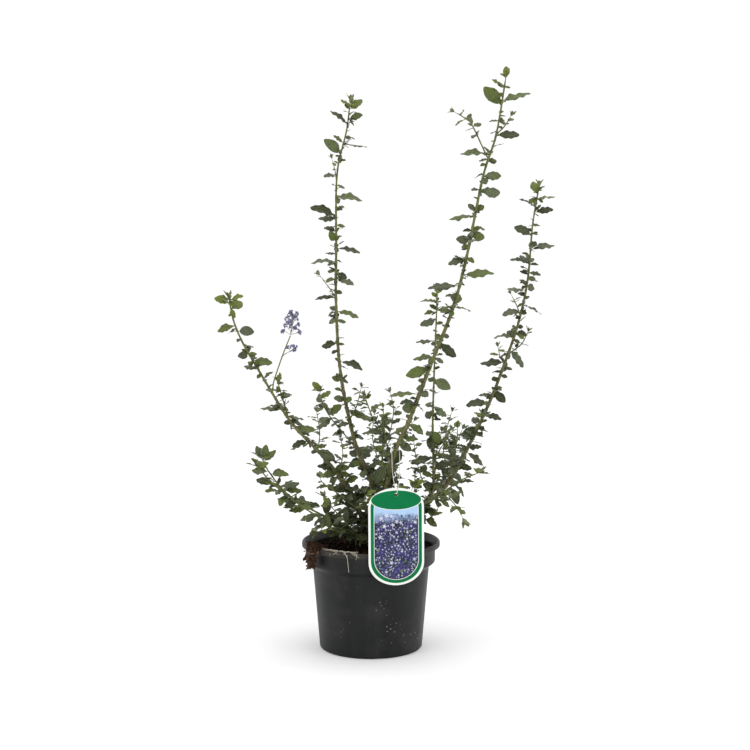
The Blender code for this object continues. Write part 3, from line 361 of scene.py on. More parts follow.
shoots = {
    "shoot_tall": [
        leafyAxis([(8, -10, 100), (8, -10, 127.5), (9.5, -11.5, 139), (15, -18, 162), (21, -30, 214),
                   (29, -40, 248), (46, -50, 287), (70, -62, 352), (95, -72, 418), (111, -78, 480),
                   (129, -80, 571), (144, -78, 619), (155, -74, 684)], 3.1, 1.1, seed=3,
                   traced=tallLeaves),
        leafyAxis([(135, -79, 594), (116, -92, 628), (107, -97, 636), (95, -100, 643)], 1, 0.6, 14, 10, 5,
                   bare=30),
        leafyAxis([(144, -78, 617), (156, -70, 632), (162, -66, 642)], 0.9, 0.6, 12, 10, 6, bare=12),
        leafyAxis([(17, -20, 172), (24, -6, 205), (25, 2, 232), (18, 6, 256), (16, 8, 275),
                   (15, 10, 294)], 1.3, 0.7, 20, 8.5, 9, bare=30),
        leafyAxis([(9.5, -11.5, 139), (3, -28, 157), (-4, -42, 177), (-7, -48, 199)], 1.1, 0.6, 23, 12.5,
                   73, bare=12),
        leafyAxis([(12, -14, 150), (26, -30, 163), (42, -45, 183), (50, -52, 206)], 1.1, 0.6, 23, 12.5,
                   75, bare=12),
        leafyAxis([(21, -30, 214), (19.5, -48, 227), (18.5, -66, 236), (17.5, -79.5, 238.5)], 1.1, 0.7,
                   seed=76, traced=hangingLeaf),
    ],
    "shoot_upright": [
        leafyAxis([(-3, 8, 100), (-3, 8, 127.5), (-2, 8.5, 139), (1, 10, 160), (1, 16, 199),
                   (-15, 28, 234), (-27, 38, 276), (-39, 50, 340), (-44, 62, 419), (-44, 72, 488),
                   (-43, 80, 582), (-31, 80, 637), (-26, 78, 674)], 2.9, 1, seed=12,
                   traced=uprightLeaves),
        leafyAxis([(-44, 79, 574), (-45, 74, 586), (-49, 70, 602)], 0.8, 0.5, 10, 8, 13, bare=20),
        leafyAxis([(-44, 64, 429), (-52, 58, 440), (-64, 54, 456)], 0.8, 0.5, 9, 8, 15, bare=10),
        leafyAxis([(1, 13, 178), (-1, 30, 208), (-21, 48, 241), (-50, 64, 274), (-64, 72, 298),
                   (-65, 74, 309)], 1.3, 0.7, 21, 9, 14, bare=20),
        leafyAxis([(1, 11, 165), (10, 28, 200), (15, 38, 240), (12, 46, 262), (1, 52, 280),
                   (-8, 58, 304)], 1.4, 0.7, 22, 8.5, 17, bare=20),
        leafyAxis([(-2, 8.5, 139), (-12, 0, 158), (-24, -6, 180), (-34, -10, 203)], 1.1, 0.6, 23, 12.5,
                   71, bare=12),
    ],
    "shoot_left": [
        leafyAxis([(-9, -4, 100), (-9, -4, 127.5), (-9.5, -4.5, 138), (-10, -6.5, 150), (-18, -12, 182),
                   (-40, -20, 217), (-64, -26, 246), (-95, -30, 280), (-120, -33, 320), (-135, -34, 346),
                   (-153, -36, 378), (-164, -34, 405), (-169, -30, 430)], 2.6, 1.1, seed=21,
                   traced=leftLeaves),
        leafyAxis([(-98, -30, 285), (-106, -24, 308), (-110, -20, 321), (-113, -18, 330)], 1.1, 0.7, 21,
                   8, 24, bare=10),
        leafyAxis([(-13, -9, 165), (-23, -26, 180), (-42, -40, 198), (-57, -46, 210), (-61, -48, 217)], 1,
                   0.6, 18, 13, 27, bare=20),
        leafyAxis([(-10, -6.5, 150), (-26, -2, 170), (-44, 4, 192), (-52, 6, 214)], 1.1, 0.6, 22, 12.5,
                   81, bare=12),
    ],
    "shoot_right": [
        leafyAxis([(20, 4, 100), (20, 4, 127.5), (21.5, 4.5, 137), (32, 7, 150), (61, 14, 170),
                   (95, 24, 197), (123, 36, 245), (149, 46, 298), (170, 54, 351), (186, 58, 399),
                   (197, 60, 452), (202, 58, 518), (209, 54, 566)], 2.8, 1, seed=31, traced=rightLeaves),
        leafyAxis([(188, 59, 408), (182, 54, 420), (175, 50, 433)], 0.8, 0.5, 9, 8, 32, bare=10),
        leafyAxis([(168, 53, 347), (162, 48, 354), (159, 46, 367)], 0.8, 0.5, 15, 7, 34, bare=14),
        leafyAxis([(173, 55, 359), (188, 48, 370), (196, 44, 386)], 0.9, 0.6, 13, 9, 33, bare=10),
        leafyAxis([(40, 9, 156), (52, 22, 166), (75, 44, 180), (100, 70, 206), (109, 86, 236),
                   (112, 94, 259)], 1.4, 0.7, 21, 9, 35, bare=30),
        leafyAxis([(101, 72, 209), (102, 90, 232), (97, 104, 254)], 1, 0.6, 19, 8.5, 37, bare=12),
        leafyAxis([(32, 7, 150), (36, 26, 168), (34, 42, 192), (30, 50, 217)], 1.1, 0.6, 22, 12.5, 79,
                   bare=12),
    ],
    "shoot_slim": [
        leafyAxis([(20, -7, 100), (20, -7, 127.5), (21.5, -7, 137), (34, -7, 149), (58, -3, 163),
                   (75, 2, 187), (77, 6, 230), (76, 8, 277), (78, 6, 354), (80, 0, 417), (80, -4, 439)],
                   1.9, 0.9, seed=41, traced=slimLeaves),
        leafyAxis([(46, -6, 157), (60, -18, 158), (74, -26, 166), (82, -30, 178)], 1.1, 0.7, 21, 12, 43,
                   bare=14),
        leafyAxis([(21.5, -7, 137), (40, 12, 150), (53, 26, 176), (55, 32, 208)], 1.1, 0.6, 23, 12.5, 77,
                   bare=12),
    ],
    "shoot_low_left": [
        leafyAxis([(-18, -9, 100), (-18, -9, 127.5), (-19.5, -10.5, 137), (-27, -17, 149),
                   (-38, -27, 159), (-65, -42, 174), (-99, -54, 198), (-120, -60, 225), (-129, -60, 242)],
                   1.5, 0.9, 22, 11, 51, bare=40),
    ],
    "shoot_front_left": [
        leafyAxis([(-13, -19, 100), (-13, -19, 127.5), (-14.5, -21, 137), (-23, -33, 147),
                   (-35, -43, 154), (-57, -58, 168), (-87, -72, 191), (-117, -84, 218), (-130, -90, 236)],
                   1.5, 0.9, 23, 11, 56, bare=40),
        leafyAxis([(-20, -30, 142), (-30, -44, 162), (-46, -56, 182), (-54, -62, 196)], 1, 0.6, 19, 12,
                   58, bare=14),
        leafyAxis([(-26, -36, 149), (-36, -52, 153), (-50, -66, 158), (-62, -78, 158)], 1, 0.6, 24, 13,
                   59, bare=14),
    ],
    "shoot_low_right": [
        leafyAxis([(27, -16, 100), (27, -16, 127.5), (28.5, -16.5, 137), (38, -21, 150), (65, -36, 180),
                   (94, -50, 205), (110, -58, 217), (127, -64, 225)], 1.4, 0.8, 20, 10.5, 61, bare=40),
        leafyAxis([(52, -29, 167), (68, -46, 186), (88, -60, 196), (101, -70, 186), (108, -76, 174)], 1,
                   0.6, 20, 12, 64, bare=16),
    ],
}

# Outer leaves of the low shoots, read off the picture in the same way and added to the frame's.
outerLeaves = {
    "shoot_low_left": [
        (240, -7, 17, 11), (240, 4, 18, 11), (238, 14, 14, 6), (226, -21, 2, 7), (223, 22, 1, 7),
        (207, 22, 6, 8), (203, 22, 1, 8), (190, 19, -1, 5), (185, 20, 1, 7)],
    "shoot_front_left": [
        (234, 6, -1, 5), (205, -18, 7, 6), (192, -15, 1, 5), (187, -22, 0, 3)],
    "shoot_low_right": [
        (206, 8, -20, 12), (209, 15, -14, 5), (213, 18, 3, 5), (216, -9, 9, 6)],
}

# Thin twigs with small leaves alone, too fine for the frame, in mm.
fineTwigs = {
    "shoot_right": [
        [(75, 44, 180), (80, 40, 205), (82, 36, 235), (88, 34, 262)],
        [(100, 70, 206), (92, 62, 232), (96, 58, 262), (102, 56, 285)],
        [(95, 24, 197), (98, 10, 222), (104, 2, 248), (112, -2, 270)],
        [(123, 36, 245), (132, 26, 262), (137, 20, 285)]],
    "shoot_tall": [
        [(21, -30, 214), (8, -24, 238), (2, -20, 262), (4, -18, 290)],
        [(29, -40, 248), (40, -30, 268), (52, -24, 282)]],
    "shoot_upright": [
        [(15, 38, 240), (24, 34, 262), (28, 30, 290), (24, 28, 312)],
        [(-27, 38, 276), (-18, 30, 294), (-12, 26, 318)]],
    "shoot_slim": [
        [(75, 2, 187), (62, -6, 210), (55, -10, 236), (52, -12, 258)],
        [(77, 6, 230), (88, -2, 250), (97, -6, 268)]],
    "shoot_left": [
        [(-64, -26, 246), (-62, -18, 268), (-66, -12, 292)],
        [(-40, -20, 217), (-34, -26, 240), (-36, -30, 262)]],
}

# The flower stalk, its side branch, and the label's loop up to the tallest shoot, in mm.
flowerStalk = [(-118, -32, 316), (-117, -36, 324), (-115, -38, 334), (-104, -44, 365),
               (-95.2, -46, 386.5)]
sideStalk = [(-105.5, -43.5, 361), (-102, -43, 364.5), (-98.5, -43.5, 366.2)]
loopRoute = [(30, -79.6, 202.6), (30.5, -81.6, 203.6), (31.6, -81.7, 208.5), (33, -78, 215),
             (34, -66, 228), (34.4, -50, 242), (33.7, -40.2, 249), (30.3, -37.1, 251.3),
             (25.2, -39.8, 249), (25.2, -50, 242), (25.6, -66, 227), (28, -75.2, 212),
             (29.6, -77.2, 204.2)]


# Where every leaf goes. The frame's leaves come first, the small ones fill in.
leafRule = {
    "probes": [(.25, .3), (.45, 1.), (.65, 1.), (.85, .7)],     # shares of the length and half width
    "soilClear": .134,      # no leaf point lies lower than this over the pot
    "potReach": .094,
    "slender": .46,         # width over length of a long leaf
    "plump": .54,           # and of a short one
    "finestReach": 9.3,     # traced leaves nearer than this many mm come after the frame's
    "enough": .95,          # a place with this share of the room wanted ends the search
    # the least share of the room wanted, then the room to its own shoot and to all else
    "keep": {"traced": (.75, .0031, .0048), "drawn": (.68, .0031, .0048), "outer": (.22, .0014, .0026),
             "nearest": (.45, .0016, .0030), "twig": (.30, .0014, .0028), "axil": (.35, .0014, .0030),
             "crowd": (.24, .0015, .0032), "fill": (.36, .0015, .0032), "tip": (.12, .0008, .0020)},
    "axilShare": .85,       # share of big leaves with a few small ones at their foot
    "axilMost": 4,
    "fillStep": .0075,      # a small leaf is tried this often along every stem
    "lowStep": .0028,       # and this often below lowTop, where old leaves crowd
    "lowTop": .222,
    "lowReach": .068,
    "tipCount": 4,
    "axilLong": (.006, .0125),      # lengths of the small leaves, by their sort
    "crowdLong": (.014, .024),
    "fillLong": (.0065, .0155),
    "tipLong": (.009, .0135),
    "stretches": (1., 1.12, 1.25, .88),      # sizes tried for a traced leaf, then turns for a drawn one
    "turns": (0, .35, -.35, .7, -.7, 1.1, -1.1, 1.6, -1.6, 2.2, -2.2),
    "tipZone": .035,        # leaves are young over this length below a tip
    "openShoots": ("shoot_low_left", "shoot_front_left", "shoot_low_right"),
    "openStep": 2.8,        # on these the small leaves stand wider apart by this
    "openTip": 1.75,        # and the leaves at the tip are larger by this
    "mainFoot": .0015,      # stems thicker than this are main stems
}
twigRule = {"foot": .8, "tip": .5, "leaf": 14.5, "gap": 7, "bare": 6, "seed": 90, "youth": .35, "lean": .45}


# A blade along d whose upper face looks towards face as far as it can.
def makeLeaf(s, x, d, face, length, width, arch, young):
    side = unit(np.cross(face, d))
    return dict(node=s["node"], owner=s["owner"], axis=s, x=x, base=spotOn(s, x), length=length, width=width,
                frame=(d, side, np.cross(d, side)), arch=arch, young=young)


# Points spread over a blade, which stand for it when leaves are kept apart.
def leafProbes(leaf):
    d, side, n = leaf["frame"]
    length, half = leaf["length"], leaf["width"] / 2
    points = []
    for u, w in leafRule["probes"]:
        mid = leaf["base"] + d * length * u - n * leaf["arch"] * length * u * u
        points += [mid - side * half * w, mid, mid + side * half * w]
    points.append(leaf["base"] + d * length - n * leaf["arch"] * length)
    return np.array(points)


# The smallest gap to what is there already, as a share of the gap wanted.
def roomLeft(points, owner, shrub, ownRoom, room):
    overPot = np.hypot(points[:, 0], points[:, 1]) < leafRule["potReach"]
    if np.any((points[:, 2] < leafRule["soilClear"]) & overPot):
        return 0.
    gaps = np.linalg.norm(points[:, None] - shrub["taken"][None], axis=2).min(0)
    return min((gaps / np.where(shrub["owners"] == owner, ownRoom, room)).min(), 1.)


# A leaf read off the picture: depth = sqrt(length^2 - seen reach^2), and it tilts until its width is
# the seen one.
def tracedLeaf(s, rng, mark, way, stretch):
    z, reach, rise, seen = (v / 1000 for v in mark)
    x = np.interp(z, s["path"][:, 2], s["run"])
    flat = math.hypot(reach, rise)
    least = .009 if flat < .0135 and seen < .0075 else .0165
    length = max(flat * 1.03, seen / .62, least) * stretch
    d = unit(np.array([reach, math.sqrt(max(length ** 2 - flat ** 2, 0.)) * way, rise]))
    width = length * leafRule["slender" if length > .026 else "plump"]
    tilt = min(seen / width, 1.)
    face = np.array([rng.uniform(-.2, .2), -tilt, math.sqrt(1.02 - tilt ** 2)])
    if abs(d.dot(unit(face))) > .9:
        face = face + np.array([.8, 0., .3])
    return x, d, face, length, width


# The draws of a traced leaf: back or forward, its arch, the seed of its lean.
def tracedDraws(rng):
    return rng.choice([-1, 1]), rng.uniform(.04, .2), rng.randint(10 ** 6)


# The traced leaf in a few sizes, leaning back or forward.
def tracedChoices(s, mark, first, arch, lean):
    for stretch in leafRule["stretches"]:
        for way in (first, -first):
            x, *shape = tracedLeaf(s, np.random.RandomState(lean), mark, way, stretch)
            main = s["foot"] > leafRule["mainFoot"]
            young = max(0., 1 - (s["run"][-1] - x) / leafRule["tipZone"]) if main else 0.
            yield makeLeaf(s, x, *shape, arch, young), 0.


# A leaf at one place on its stem, turned a little further each time.
def drawnChoices(s, x, angle, pitch, face, length, arch, young):
    along = wayOf(s, x)
    pair = crossPair(along)
    for turn in leafRule["turns"]:
        out = outward(pair, angle + turn)
        out = unit(out - up * out.dot(up) * .5 + along * .25)
        d = unit(out * math.cos(pitch) + up * math.sin(pitch))
        yield makeLeaf(s, x, d, face, length, length * leafRule["plump"], arch, young), .03 * abs(turn)


# Keeps the choice with the most room, if that is enough for leaves of its sort.
def settle(shrub, choices, sort):
    least, ownRoom, room = leafRule["keep"][sort]
    best, bestScore = None, -1.
    for leaf, cost in choices:
        score = roomLeft(leafProbes(leaf), leaf["owner"], shrub, ownRoom, room) - cost
        if score > bestScore:
            best, bestScore = leaf, score
        if score >= leafRule["enough"]:
            break
    if bestScore >= least:
        probes = leafProbes(best)
        shrub["leaves"].append(best)
        shrub["taken"] = np.vstack([shrub["taken"], probes])
        shrub["owners"] = np.concatenate([shrub["owners"], np.full(len(probes), best["owner"])])


# An axis as a stem of its shoot, with its curve.
def growStem(axis, node):
    path = smoothPath(axis["route"])
    return dict(axis, node=node, owner=list(shoots).index(node), path=path, run=runOf(path))


# Leaves up a stem: each a gap further on and a golden turn round it.
def leafAlong(shrub, s, sort):
    rng = np.random.RandomState(s["seed"])
    reach, x, angle = s["run"][-1], s["bare"], rng.uniform(0, 2 * math.pi)
    while x < reach + s["gap"] * .4:
        spot = min(x, reach - .0008)
        young = max(0., 1 - (reach - spot) / .03) * s["youth"]
        length = s["leaf"] * rng.uniform(.8, 1.12) * (1 - .3 * young)
        pitch = rng.uniform(-.35, .4) + young * .5
        face = np.array([rng.normal() * .35, rng.uniform(-1.1, .35) * s["lean"], 1.])
        arch = rng.uniform(.05, .22)
        settle(shrub, drawnChoices(s, spot, angle, pitch, face, length, arch, young), sort)
        x += s["gap"] * rng.uniform(.8, 1.2)
        angle += goldenTurn


# The frame's leaves first, by the frame's own draws, then the outer ones, the fine twigs, the small.
def growShrub(guards):
    stems = [growStem(axis, node) for node, axes in shoots.items() for axis in axes]
    marks = [np.array([spotOn(s, x) for x in np.arange(0, s["run"][-1], .004)]) for s in stems]
    owners = [np.full(len(m), s["owner"]) for m, s in zip(marks, stems)] + [np.full(len(guards), -1)]
    shrub = {"stems": stems, "leaves": [], "taken": np.vstack(marks + [guards]),
             "owners": np.concatenate(owners)}
    waiting = []
    for s in stems:
        rng = np.random.RandomState(s["seed"])
        for mark in s["traced"]:
            draws = tracedDraws(rng)
            if math.hypot(mark[1], mark[2]) > leafRule["finestReach"]:
                settle(shrub, tracedChoices(s, mark, *draws), "traced")
            else:
                waiting.append((s, mark, *draws))
    for s in stems:
        if not s["traced"]:
            leafAlong(shrub, s, "drawn")
    frameCount = len(shrub["leaves"])
    for node, marks in outerLeaves.items():
        s = [s for s in stems if s["node"] == node][0]
        rng = np.random.RandomState(len(marks))
        for mark in marks:
            settle(shrub, tracedChoices(s, mark, *tracedDraws(rng)), "outer")
    for choice in waiting:
        settle(shrub, tracedChoices(*choice), "nearest")
    for node, routes in fineTwigs.items():
        for k, route in enumerate(routes):
            axis = leafyAxis(route, twigRule["foot"], twigRule["tip"], twigRule["leaf"], twigRule["gap"],
                             twigRule["seed"] + k, twigRule["bare"])
            s = growStem(dict(axis, youth=twigRule["youth"], lean=twigRule["lean"]), node)
            stems.append(s)
            leafAlong(shrub, s, "twig")
    addAxilLeaves(shrub, frameCount, np.random.RandomState(5))
    print("leaves:", frameCount, "from the frame,", len(shrub["leaves"]), "in all")
    return shrub


# Short shoots in the axils, then single small leaves along the stems, then young leaves at each tip.
def addAxilLeaves(shrub, frameCount, rng):
    for big in shrub["leaves"][:frameCount]:
        if rng.rand() > leafRule["axilShare"] or big["length"] < .013:
            continue
        for _ in range(rng.randint(1, leafRule["axilMost"] + 1)):
            length = rng.uniform(*leafRule["axilLong"])
            way = unit(big["frame"][0] * .55 + rng.normal(size=3) * .62 + up * .25)
            face = np.array([rng.normal() * .4, rng.uniform(-.9, .3), 1.])
            leaf = makeLeaf(big["axis"], big["x"], way, face, length, length * rng.uniform(.46, .6),
                            rng.uniform(.02, .3), max(big["young"], rng.uniform(.0, .3)))
            settle(shrub, [(leaf, 0.)], "axil")
    for s in shrub["stems"]:
        addFillLeaves(shrub, s, rng)
        addTipLeaves(shrub, s, rng)


# Single leaves in any direction: crowded and larger low down on the main stems, loose above.
def addFillLeaves(shrub, s, rng):
    reach = s["run"][-1]
    low = np.interp(leafRule["lowTop"], s["path"][:, 2], s["run"])
    crowd = np.arange(.030, low, leafRule["lowStep"]) if s["route"][0][2] < .11 else np.array([])
    crowd = [x for x in crowd if math.hypot(*spotOn(s, x)[:2]) < leafRule["lowReach"]]
    stride = leafRule["fillStep"] * (leafRule["openStep"] if s["node"] in leafRule["openShoots"] else 1.)
    loose = np.arange(s["bare"] + .006, reach - .004, stride)
    for x, sort in [(x, "crowd") for x in crowd] + [(x, "fill") for x in loose]:
        x = x + rng.uniform(-.003, .003)
        length = rng.uniform(*leafRule["crowdLong" if sort == "crowd" else "fillLong"])
        angle, pitch = rng.uniform(0, 2 * math.pi), rng.uniform(-.4, .8)
        level = math.cos(pitch)
        way = np.array([math.cos(angle) * level, math.sin(angle) * level, math.sin(pitch)])
        face = np.array([rng.normal() * .4, rng.uniform(-.9, .3) * .6, 1.])
        leaf = makeLeaf(s, x, way, face, length, length * rng.uniform(.44, .58), rng.uniform(.05, .3),
                        max(0., 1 - (reach - x) / leafRule["tipZone"]))
        settle(shrub, [(leaf, 0.)], sort)


# Young leaves round the tip, the last ones smaller and more upright.
def addTipLeaves(shrub, s, rng):
    reach, count = s["run"][-1], leafRule["tipCount"]
    along = wayOf(s, reach)
    pair = crossPair(along)
    main = s["foot"] > leafRule["mainFoot"]
    grow = (1. if main else .75) * (leafRule["openTip"] if s["node"] in leafRule["openShoots"] else 1.)
    for k in range(count):
        out = outward(pair, k * goldenTurn + rng.uniform(0, 1))
        length = rng.uniform(*leafRule["tipLong"]) * (1 - .10 * k) * grow
        way, face = unit(along + out * (.62 - .14 * k)), along * .3 - out * .7 + up * .2
        leaf = makeLeaf(s, reach, way, face, length, length * .42, rng.uniform(-.10, .10),
                        (1. if main else .6) * s["youth"])
        leaf["base"] = spotOn(s, reach - .0012 * (count - k))
        settle(shrub, [(leaf, 0.)], "tip")


# Leaf and bark surfaces.
leafShape = {
    "rows": 25,
    "smallRows": 11,
    "columns": np.array([-1, -.68, -.34, 0, .34, .68, 1]),
    "smallColumns": np.array([-1, -.5, 0, .5, 1]),
    "smallest": .0135,       # shorter leaves are drawn with fewer rows and columns
    "fuller": 1.07,          # drawn this much wider than in the frame
    "openFuller": .88,       # but this on the open shoots
    "petiole": .13,          # share of the length that is stalk
    "petioleHalf": .00042,
    "half": .00013,          # half thickness of the blade
    "rib": .00022,           # the midrib stands this proud below
    "blunt": (.86, 1.02),
    "full": .70,             # power of the outline
    "tooth": .065,           # teeth: share of the width cut out, and of the length pushed forward
    "toothLong": .007,
    "fold": (.02, .34),
    "waveHigh": .060,
    "waves": 2.6,
    "droop": .10,
    "twist": .28,
    "sway": .05,
    # long side waves: place and length of each as shares of the leaf, its height, and its draw
    "left": ((.27, .14, .03, 0), (.52, .16, .06, 1), (.80, .13, .03, 2)),
    "right": ((.32, .14, -.03, 0), (.60, .16, .06, 2), (.86, .13, -.03, 1)),
}
barkShape = {
    "step": .0022,
    "swell": .22,            # the stem is this much thicker at a leaf
    "swellLong": .0016,
    # how far up the brown bark goes, and how fresh the leaves are, on each shoot
    "woody": {"shoot_right": .55, "shoot_left": .30, "shoot_upright": .15},
    "fresh": {"shoot_tall": 1.15, "shoot_slim": 1.1, "shoot_right": .54, "shoot_left": 1.},
    "otherFresh": .85,
    "hangingTone": .1,
}


# Blades as one grid: a lens section of half width w(u) carried along an arched line. With t the share
# past the stalk, w = stalk + half * sin(pi t^blunt)^full, cut back at every second row for the teeth.
# Height = fold |w| + side waves (bells along u, strongest at the edge) + edge ripple (a sine along u)
# - droop at the edge - arch L u^2. The whole turns about its line by twist * u.
def leafSurface(leaves, rows, columns, rng):
    k, c = len(leaves), len(columns)
    shape = leafShape
    base = np.array([leaf["base"] for leaf in leaves])[:, None, None]
    d, side, n = (np.array([leaf["frame"][i] for leaf in leaves])[:, None, None] for i in range(3))
    length, half, arch, young = (np.array([leaf[key] for leaf in leaves])[:, None, None]
                                 for key in ("length", "width", "arch", "young"))
    half = half / 2 * np.array([shape["openFuller" if leaf["node"] in leafRule["openShoots"] else "fuller"]
                                for leaf in leaves])[:, None, None]
    draws = np.array([leaf["wave"] for leaf in leaves])[:, :, None, None]
    u = np.linspace(0, 1, rows)[None, :, None]
    t = np.clip((u - shape["petiole"]) / (1 - shape["petiole"]), 0, 1)
    v = np.concatenate([columns, columns[-2:0:-1]])[None, None, :]
    above = np.concatenate([np.ones(c), -np.ones(c - 2)])[None, None, :]
    edge = np.abs(v)
    blunt = rng.uniform(*shape["blunt"], (k, 1, 1))
    full = np.sin(np.pi * t ** blunt) ** shape["full"]
    toothed = (np.arange(rows) % 2)[None, :, None] * (edge > .99) * (t > 0) * (rows == shape["rows"])
    across = (shape["petioleHalf"] * (1 - t) ** 2 + half * full) * v * (1 - shape["tooth"] * toothed)
    left, right = (sum(draws[:, i] * high * np.exp(-((u - at) / wide) ** 2)
                       for at, wide, high, i in shape[key]) for key in ("left", "right"))
    phase = rng.uniform(0, 2 * np.pi, (k, 1, 1))
    ripple = np.sin(2 * np.pi * (shape["waves"] + blunt) * u + phase + (v > 0) * 1.9)
    fold = rng.uniform(*shape["fold"], (k, 1, 1)) * (1 + .8 * young)
    high = fold * np.abs(across) * full + length * np.where(v < 0, left, right) * edge ** 1.5 \
        + 2 * shape["waveHigh"] * half * ripple * edge ** 2 * full - shape["droop"] * half * edge ** 3 * full
    solid = smoothStep(t * 6)
    thick = shape["half"] * (1 - edge ** 4) * (1 - .3 * t)
    thick = thick + np.where((above < 0) & (edge < .01), shape["rib"] * (1 - t) ** .7, 0.)
    thick = thick - np.where((above > 0) & (edge < .01), shape["half"] * .7, 0.)
    stalk = shape["petioleHalf"] * np.sqrt(np.maximum(1 - edge ** 2, 0))
    lift = high + above * (stalk * (1 - solid) + thick * solid) * (edge < .99)
    twist = rng.uniform(-shape["twist"], shape["twist"], (k, 1, 1)) * u
    sway = rng.uniform(-shape["sway"], shape["sway"], (k, 1, 1)) * length * np.sin(np.pi * u)
    sideways = across * np.cos(twist) - lift * np.sin(twist) + sway
    upwards = across * np.sin(twist) + lift * np.cos(twist) - arch * length * u * u
    forward = length * (u + toothed * shape["toothLong"])
    points = base + d * forward[..., None] + side * sideways[..., None] + n * upwards[..., None]
    flat = np.stack(np.broadcast_arrays(across * 1000, length * u * 1000), -1)
    maps = np.stack(np.broadcast_arrays(v, t, young), -1)
    points, flat, maps = (ringsThenEnds(grid, c // 2) for grid in (points, flat, maps))
    tone = np.repeat(np.array([leaf["tone"] for leaf in leaves]), points.shape[1])
    return surface(points, formFaces(k, rows - 2, 2 * c - 2, (0, 1), c - 1), maps, flat, tone)


# The stem's curve drawn finer; a twig's first stretch is led to the stem that carries it.
def fineStem(s, others):
    path = smoothPath(s["route"], 8)
    if others and s["route"][0][2] > .11:
        near = np.vstack(others)
        gap = near[np.argmin(np.linalg.norm(near - path[0], axis=1))] - path[0]
        share = np.linspace(0, 1, len(path))[:, None]
        path = path + gap * (1 - smoothStep(share * 2.5))
    return path


# The same share of the way along the finer curve of the leaf's stem.
def moveToStem(leaf):
    s = leaf["axis"]
    place = np.interp(leaf["x"], s["run"], np.arange(len(s["path"]))) * 4
    return readAt(place, np.arange(len(s["fine"])), s["fine"])


# A tube that tapers, swells by a bell at each leaf and wavers by two sines, as real wood does.
def barkSurface(s, spots):
    run = runOf(s["fine"])
    total = run[-1]
    dense = np.linspace(0, total, max(12, int(total / barkShape["step"])))
    share = dense / total
    radii = s["foot"] + (s["tip"] * .8 - s["foot"]) * share
    if spots:
        near = np.abs(dense[:, None] - np.array(spots)[None] * total / s["run"][-1]).min(1)
        radii = radii * (1 + barkShape["swell"] * np.exp(-(near / barkShape["swellLong"]) ** 2))
    radii = radii * (1 + .05 * np.sin(dense * 900 + s["seed"]) + .04 * np.sin(dense * 2300))
    radii[-2:] *= .6
    age = np.clip((s["foot"] - .0006) / .0016, 0, 1) * (1 - share) ** .8
    age = np.clip(age + barkShape["woody"].get(s["node"], 0.) * (1 - share ** 3), 0, 1)
    return tubeSurface(readAt(dense, run, s["fine"]).T, radii, 10 if s["foot"] > leafRule["mainFoot"] else 8,
                       2, age)


# One shoot: bark, big leaves in the frame's own places, small leaves between them. A leaf's tone is
# random, scaled for each shoot and lowered as painted shade nearer the crown's middle and low down.
def addShoot(node, shrub, looks, extras=()):
    own = [s for s in shrub["stems"] if s["node"] == node]
    for i, s in enumerate(own):
        s["fine"] = fineStem(s, [o["fine"] for o in own[:i]])
    mine = [leaf for leaf in shrub["leaves"] if leaf["node"] == node]
    rng, fineRng = np.random.RandomState(len(node)), np.random.RandomState(len(node) * 7)
    fresh = barkShape["fresh"].get(node, barkShape["otherFresh"])
    for leaf in mine:
        leaf["wave"] = rng.choice([-1, 1], 3) * rng.uniform(.5, 1., 3)
        leaf["base"] = moveToStem(leaf)
        # painted shade: leaves near the axis and low down get a darker tone, for the shade deep in the crown
        inner = math.hypot(*leaf["base"][:2]) + 1.6 * max(leaf["base"][2] - .15, 0.)
        leaf["tone"] = fineRng.rand() * np.clip((inner - .03) / .12, .12, 1.) * fresh
        if leaf["axis"]["traced"] is hangingLeaf:
            leaf["tone"] = barkShape["hangingTone"]
    surfaces = [barkSurface(s, [leaf["x"] for leaf in mine if leaf["axis"] is s]) for s in own]
    big = [leaf for leaf in mine if leaf["length"] >= leafShape["smallest"]]
    small = [leaf for leaf in mine if leaf["length"] < leafShape["smallest"]]
    surfaces += [leafSurface(big, leafShape["rows"], leafShape["columns"], fineRng),
                 leafSurface(small, leafShape["smallRows"], leafShape["smallColumns"], fineRng)]
    print(node, len(own), "stems", len(big), "big leaves", len(small), "small leaves")
    makePiece(node + "_leafy", surfaces + list(extras), looks, node, 50)


# Leaf and bark finishes.
shrubColours = {
    "deep": "#161d09", "dark": "#222a10", "middle": "#4b5531", "pale": "#717961", "fresh": "#576519",
    "young": "#697726", "vein": "#737b52", "scorch": "#55402f",
    "under": "#747b66", "underDeep": "#666e56", "underYoung": "#7d874c", "felt": "#8c937c",
    "nerve": "#8f9470",
    "greenBark": "#4f552a", "greenBarkPale": "#7d8342", "brownBark": "#444229", "brownBarkPale": "#7b774c",
    "barkPatch": "#4f4534", "barkDot": "#8a845e",
}
veinGap = 2.4      # mm between side veins, measured along the midrib


# What a leaf reads: place on the blade (-1 to 1 across, 0 to 1 along, youth), tone, and the blade
# laid flat in mm.
def leafInputs(tree):
    blade = addNode(tree, "Attribute", out="Vector", attribute_name="blade")
    tone = addNode(tree, "Attribute", out="Fac", attribute_name="tone")
    flat = addNode(tree, "UVMap", uv_map="flatMm")
    return [addNode(tree, "SeparateXYZ", {0: blade}, i) for i in range(3)], tone, \
        [addNode(tree, "SeparateXYZ", {0: flat}, i) for i in range(2)]


